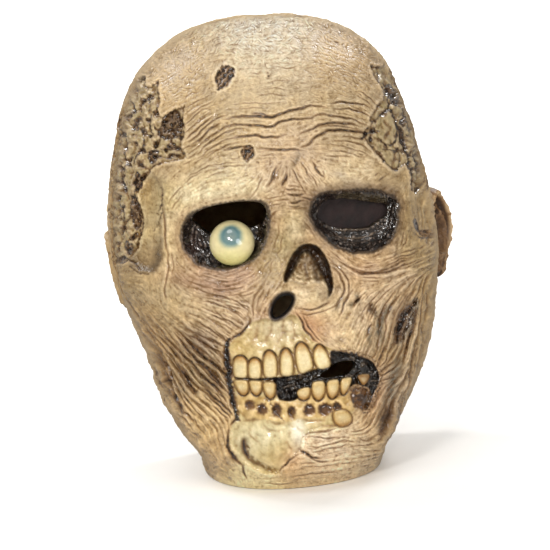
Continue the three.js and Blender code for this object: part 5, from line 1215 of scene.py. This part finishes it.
# ------------------------------------------------------------------ gauze behind the other opening
def make_gauze():
    gx0, gx1, gy0, gy1, st_p = 302, 403, 188, 242, 2.0
    sel = FRONT & (MX > gx0 - 3) & (MX < gx1 + 3) & (MY > gy0 - 3) & (MY < gy1 + 3)
    # depth of the inner face over the chart
    ci = ((MX[sel] - gx0 + 3) / 2).astype(int); ri = ((MY[sel] - gy0 + 3) / 2).astype(int)
    nx_, ny_ = int((gx1 - gx0 + 6) / 2) + 1, int((gy1 - gy0 + 6) / 2) + 1
    wsum = np.zeros((ny_, nx_)); cnt = np.zeros((ny_, nx_))
    dep = (INN[sel] - EYE) @ FW
    np.add.at(wsum, (ri, ci), dep); np.add.at(cnt, (ri, ci), 1)
    D = wsum / np.maximum(cnt, 1)
    for _ in range(40):
        bad = cnt == 0
        if not bad.any():
            break
        Pd = np.pad(D, 1, mode="edge"); Pc = np.pad((cnt > 0).astype(float), 1, mode="edge")
        s_ = sum(Pd[1 + a:1 + a + ny_, 1 + b:1 + b + nx_] * Pc[1 + a:1 + a + ny_, 1 + b:1 + b + nx_] for a in (-1, 0, 1) for b in (-1, 0, 1))
        c_ = sum(Pc[1 + a:1 + a + ny_, 1 + b:1 + b + nx_] for a in (-1, 0, 1) for b in (-1, 0, 1))
        fill = bad & (c_ > 0); D[fill] = (s_ / np.maximum(c_, 1))[fill]; cnt[fill] = 1
    for _ in range(6):
        Pd = np.pad(D, 1, mode="edge"); D = np.maximum(D, 0.25 * (Pd[:-2, 1:-1] + Pd[2:, 1:-1] + Pd[1:-1, :-2] + Pd[1:-1, 2:]))
    xs = np.arange(gx0, gx1 + .1, 1.0); ys = np.arange(gy0, gy1 + .1, 1.0); GXX, GYY = np.meshgrid(xs, ys)
    poly = smoothpoly(HOLER, 2); m = polysdf(poly, GXX, GYY)
    fx = np.clip((GXX - gx0 + 3) / 2 - .5, 0, nx_ - 1.01); fy = np.clip((GYY - gy0 + 3) / 2 - .5, 0, ny_ - 1.01); j, i = fx.astype(int), fy.astype(int); b, a = fx - j, fy - i
    dd = (D[i, j] * (1 - b) + D[i, j + 1] * b) * (1 - a) + (D[i + 1, j] * (1 - b) + D[i + 1, j + 1] * b) * a
    dd = dd + 0.9
    # inside the opening the cloth is drawn nearly flat
    keepc = (0.25 * (m[:-1, :-1] + m[1:, :-1] + m[1:, 1:] + m[:-1, 1:]) > -6.5)
    def at(X, Y, dp):
        return EYE + (FW + CR * ((X - 275) / FL)[..., None] + CU * ((275 - Y) / FL)[..., None]) * dp[..., None]
    A_, B_ = at(GXX, GYY, dd), at(GXX, GYY, dd + 0.5)
    usev = np.zeros(GXX.shape, bool)
    for a1 in (0, 1):
        for b1 in (0, 1):
            usev[a1:a1 + keepc.shape[0], b1:b1 + keepc.shape[1]] |= keepc
    idf = np.full(GXX.shape, -1); nv = int(usev.sum()); idf[usev] = np.arange(nv); idb = np.where(usev, idf + nv, -1)
    F_ = []; K = np.pad(keepc, 1)
    for r in range(keepc.shape[0]):
        for c in range(keepc.shape[1]):
            if not keepc[r, c]:
                continue
            q4 = [(r, c), (r + 1, c), (r + 1, c + 1), (r, c + 1)]
            F_.append([idf[t] for t in q4]); F_.append([idb[t] for t in q4[::-1]])
            for (dr, dc), (e0, e1) in (((-1, 0), (3, 0)), ((0, -1), (0, 1)), ((1, 0), (1, 2)), ((0, 1), (2, 3))):
                if not K[r + 1 + dr, c + 1 + dc]:
                    F_.append([idf[q4[e1]], idf[q4[e0]], idb[q4[e0]], idb[q4[e1]]])
    V_ = np.concatenate([A_[usev], B_[usev]])
    ob = build("gauze_cloth", V_, F_)
    tris = sum(float(np.linalg.norm(np.cross(V_[f_[1]] - V_[f_[0]], V_[f_[2]] - V_[f_[0]])) + np.linalg.norm(np.cross(V_[f_[2]] - V_[f_[0]], V_[f_[3]] - V_[f_[0]]))) / 2 for f_ in F_[::1] if len(f_) == 4 and max(f_) < nv)
    ext = V_.max(0) - V_.min(0); return ob, tris, ext


GAUZE, G_AREA, G_EXT = make_gauze()
print("gauze area mm2", G_AREA, "extent", G_EXT)


# ------------------------------------------------------------------ materials
class Nodes:
    def __init__(self, name):
        self.m = bpy.data.materials.new(name); self.m.use_nodes = True; self.t = self.m.node_tree
        self.b = self.t.nodes["Principled BSDF"]; self.c = self.t.nodes.new("ShaderNodeTexCoord")

    def new(self, kind, **kw):
        n = self.t.nodes.new(kind)
        for k_, v_ in kw.items():
            if hasattr(n, k_):
                setattr(n, k_, v_)
            else:
                n.inputs[k_].default_value = v_
        return n

    def link(self, a, b):
        self.t.links.new(a, b)

    def noise(self, scale, detail=4.0, rough=0.6, src=None):
        n = self.new("ShaderNodeTexNoise"); n.inputs["Scale"].default_value = scale; n.inputs["Detail"].default_value = detail; n.inputs["Roughness"].default_value = rough
        self.link(src or self.c.outputs["Object"], n.inputs["Vector"]); return n

    def span(self, src, lo, hi, a=0.0, b=1.0):
        n = self.new("ShaderNodeMapRange"); n.inputs["From Min"].default_value = lo; n.inputs["From Max"].default_value = hi
        n.inputs["To Min"].default_value = a; n.inputs["To Max"].default_value = b; self.link(src, n.inputs["Value"]); return n.outputs["Result"]

    def mixc(self, fac, a, b, mode="MIX"):
        n = self.new("ShaderNodeMix"); n.data_type = "RGBA"; n.blend_type = mode
        for sock, v_ in ((n.inputs[0], fac), (n.inputs[6], a), (n.inputs[7], b)):
            if hasattr(v_, "is_output") or isinstance(v_, bpy.types.NodeSocket):
                self.link(v_, sock)
            else:
                sock.default_value = v_
        return n.outputs[2]

    def math(self, op, a, b=0.0):
        n = self.new("ShaderNodeMath"); n.operation = op
        for sock, v_ in ((n.inputs[0], a), (n.inputs[1], b)):
            if isinstance(v_, bpy.types.NodeSocket):
                self.link(v_, sock)
            else:
                sock.default_value = v_
        return n.outputs[0]

    def bump(self, height, strength, dist):
        n = self.new("ShaderNodeBump"); n.inputs["Strength"].default_value = strength; n.inputs["Distance"].default_value = dist
        self.link(height, n.inputs["Height"]); self.link(n.outputs["Normal"], self.b.inputs["Normal"]); return n


def srgb(r, g, b):
    return tuple((c / 255) ** 2.2 for c in (r, g, b)) + (1.0,)


def latex_material():
    N = Nodes("painted_latex")
    at = N.new("ShaderNodeAttribute"); at.attribute_name = "Paint"
    gl = N.new("ShaderNodeAttribute"); gl.attribute_name = "Gloss"
    ins = N.new("ShaderNodeAttribute"); ins.attribute_name = "Inside"
    n1 = N.noise(420, 5, 0.62); n2 = N.noise(1500, 4, 0.6); n3 = N.noise(120, 3, 0.5)
    m1 = N.span(n1.outputs["Fac"], 0.30, 0.70, 0.87, 1.09); m2 = N.span(n2.outputs["Fac"], 0.30, 0.72, 0.90, 1.07)
    both = N.math("MULTIPLY", m1, m2)
    cmb = N.new("ShaderNodeCombineColor"); [N.link(both, cmb.inputs[i]) for i in range(3)]
    col = N.mixc(1.0, at.outputs["Color"], cmb.outputs["Color"], "MULTIPLY")
    fleck = N.span(N.noise(900, 2, 0.5).outputs["Fac"], 0.66, 0.74, 0.0, 0.30)
    col = N.mixc(fleck, col, srgb(104, 76, 48))
    raw = N.mixc(N.span(n3.outputs["Fac"], 0.35, 0.65), srgb(196, 172, 134), srgb(170, 142, 106))
    col = N.mixc(ins.outputs["Fac"], col, raw)
    N.link(col, N.b.inputs["Base Color"])
    rn = N.span(n1.outputs["Fac"], 0.3, 0.7, -0.05, 0.07)
    N.link(N.math("ADD", gl.outputs["Fac"], rn), N.b.inputs["Roughness"])
    vo = N.new("ShaderNodeTexVoronoi"); vo.feature = "DISTANCE_TO_EDGE"; vo.inputs["Scale"].default_value = 620; N.link(N.c.outputs["Object"], vo.inputs["Vector"])
    hgt = N.math("ADD", N.math("MULTIPLY", n2.outputs["Fac"], 0.6), N.math("ADD", N.math("MULTIPLY", n1.outputs["Fac"], 0.9), N.math("MULTIPLY", N.span(vo.outputs["Distance"], 0.0, 0.25), 0.25)))
    bp = N.bump(hgt, 0.55, 0.00035); N.link(N.span(gl.outputs["Fac"], 0.10, 0.30, 0.12, 0.55), bp.inputs["Strength"])
    N.link(N.span(gl.outputs["Fac"], 0.24, 0.12), N.b.inputs["Coat Weight"]); N.b.inputs["Coat Roughness"].default_value = 0.05
    N.b.inputs["IOR"].default_value = 1.46; N.b.inputs["Specular IOR Level"].default_value = 0.45
    return N.m


LATEX = latex_material()


def ball_material():
    N = Nodes("eyeball_plastic")
    at = N.new("ShaderNodeAttribute"); at.attribute_name = "Paint"
    n1 = N.noise(260, 4, 0.6); n2 = N.noise(1100, 3, 0.6)
    m1 = N.span(n1.outputs["Fac"], 0.3, 0.7, 0.94, 1.05); cmb = N.new("ShaderNodeCombineColor"); [N.link(m1, cmb.inputs[i]) for i in range(3)]
    N.link(N.mixc(1.0, at.outputs["Color"], cmb.outputs["Color"], "MULTIPLY"), N.b.inputs["Base Color"])
    N.link(N.span(n2.outputs["Fac"], 0.3, 0.7, 0.10, 0.22), N.b.inputs["Roughness"]); N.bump(n1.outputs["Fac"], 0.12, 0.0002)
    N.b.inputs["Coat Weight"].default_value = 0.7; N.b.inputs["Coat Roughness"].default_value = 0.05; return N.m


def gauze_material():
    N = Nodes("black_gauze")
    mp = N.new("ShaderNodeMapping"); N.link(N.c.outputs["Object"], mp.inputs["Vector"])
    w1 = N.new("ShaderNodeTexWave"); w1.wave_type = "BANDS"; w1.bands_direction = "X"; w1.inputs["Scale"].default_value = 620; w1.inputs["Distortion"].default_value = 0.6; w1.inputs["Detail"].default_value = 1.0
    w2 = N.new("ShaderNodeTexWave"); w2.wave_type = "BANDS"; w2.bands_direction = "Z"; w2.inputs["Scale"].default_value = 620; w2.inputs["Distortion"].default_value = 0.6; w2.inputs["Detail"].default_value = 1.0
    N.link(mp.outputs["Vector"], w1.inputs["Vector"]); N.link(mp.outputs["Vector"], w2.inputs["Vector"])
    th = N.math("MAXIMUM", w1.outputs["Fac"], w2.outputs["Fac"]); n1 = N.noise(300, 4, 0.6); n2 = N.noise(110, 4, 0.62)
    c = N.mixc(N.span(th, 0.35, 0.95), srgb(11, 7, 6), srgb(50, 30, 27)); c = N.mixc(N.span(n2.outputs["Fac"], 0.42, 0.66, 0.0, 0.75), c, srgb(12, 8, 8))
    N.link(c, N.b.inputs["Base Color"]); N.link(N.span(n1.outputs["Fac"], 0.3, 0.7, 0.62, 0.86), N.b.inputs["Roughness"]); N.bump(th, 0.8, 0.0002)
    N.b.inputs["Sheen Weight"].default_value = 0.04; return N.m


def glue_material(name, a, b):
    N = Nodes(name); n1 = N.noise(240, 5, 0.6); n2 = N.noise(900, 3, 0.6)
    N.link(N.mixc(N.span(n1.outputs["Fac"], 0.35, 0.68), srgb(*a), srgb(*b)), N.b.inputs["Base Color"])
    N.link(N.span(n2.outputs["Fac"], 0.3, 0.7, 0.34, 0.58), N.b.inputs["Roughness"]); N.bump(n1.outputs["Fac"], 0.6, 0.0006); return N.m


HEAD.data.materials.append(LATEX); EAR.data.materials.append(LATEX)
EYEB.data.materials.append(ball_material()); GAUZE.data.materials.append(gauze_material())
for nm, mt in (("eyeball_glue_pad", glue_material("set_glue", (104, 84, 56), (60, 44, 28))), ("gauze_glue_seam", glue_material("seam_glue", (96, 78, 54), (52, 40, 28)))):
    ob = NODES[nm]
    if len(ob.material_slots) == 0:
        ob.data.materials.append(mt)
    for sl in ob.material_slots:
        sl.material = mt
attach(HEAD, "root"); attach(EAR, "root"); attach(EYEB, "root"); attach(GAUZE, "root")
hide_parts("latex_skin"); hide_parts("false_eyeball"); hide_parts("eye_gauze")

# ------------------------------------------------------------------ floor, light, camera
def floor_material():
    N = Nodes("pale_floor"); n1 = N.noise(6, 3, 0.5); n2 = N.noise(90, 4, 0.6)
    N.link(N.mixc(N.span(n1.outputs["Fac"], 0.3, 0.7), srgb(240, 240, 239), srgb(246, 246, 245)), N.b.inputs["Base Color"])
    N.link(N.span(n2.outputs["Fac"], 0.3, 0.7, 0.7, 0.85), N.b.inputs["Roughness"]); return N.m


n_ = 24; fy = [-2.5, 1.2]; prof = [(-3.2, 0.0), (2.6, 0.0)] + [(2.6 + 0.9 * math.sin(t * math.pi / 2 / n_), 0.9 - 0.9 * math.cos(t * math.pi / 2 / n_)) for t in range(1, n_ + 1)] + [(3.5, 5.5)]
fv = [(sx_ * 4.0, y_, z_ - 0.0004) for y_, z_ in prof for sx_ in (-1, 1)]
ff = [(2 * i, 2 * i + 1, 2 * i + 3, 2 * i + 2) for i in range(len(prof) - 1)]
FLOOR = build("studio_floor", np.array(fv) * 1000, ff); FLOOR.data.materials.append(floor_material()); FLOOR.visible_glossy = False
from mathutils import Matrix, Vector
sc = bpy.context.scene
sc.view_settings.view_transform = "Standard"
w = bpy.data.worlds.new("studio"); sc.world = w; w.use_nodes = True
w.node_tree.nodes["Background"].inputs[0].default_value = (1, 0.97, 0.925, 1); w.node_tree.nodes["Background"].inputs[1].default_value = 0.37


def area(name, loc, target, size, energy, col=(1, 1, 1)):
    l = bpy.data.lights.new(name, "AREA"); l.shape = "DISK"; l.size = size; l.energy = energy; l.color = col
    ob = bpy.data.objects.new(name, l); sc.collection.objects.link(ob); ob.location = loc
    d = (Vector(target) - Vector(loc)).normalized(); ob.rotation_euler = d.to_track_quat("-Z", "Y").to_euler(); return ob


area("key", (-0.72, -1.75, 1.00), (0, 0, 0.16), 0.42, 20.5, (1, 0.985, 0.955))
area("glint", (-0.20, -1.80, 0.62), (0, 0, 0.16), 0.22, 8.5, (1, 0.985, 0.955))
area("wall_l", (-1.5, 1.5, 2.4), (-0.3, 3.1, 0.3), 1.0, 75.0)
area("wall_r", (1.5, 1.5, 2.4), (0.3, 3.1, 0.3), 1.0, 75.0)
area("fill", (1.1, -1.9, 0.25), (0, 0, 0.12), 1.0, 14.0)
area("top", (-0.25, -0.55, 1.5), (0, 0, 0.2), 0.7, 5.0)
cam = bpy.data.cameras.new("view"); cam.sensor_width = 36; cam.lens = 36 * FL / 550; cam.clip_end = 50
co = bpy.data.objects.new("view", cam); sc.collection.objects.link(co)
M = Matrix.Identity(4)
for i in range(3):
    M[i][0], M[i][1], M[i][2], M[i][3] = CR[i], CU[i], -FW[i], EYE[i] / 1000
co.matrix_world = M; sc.camera = co
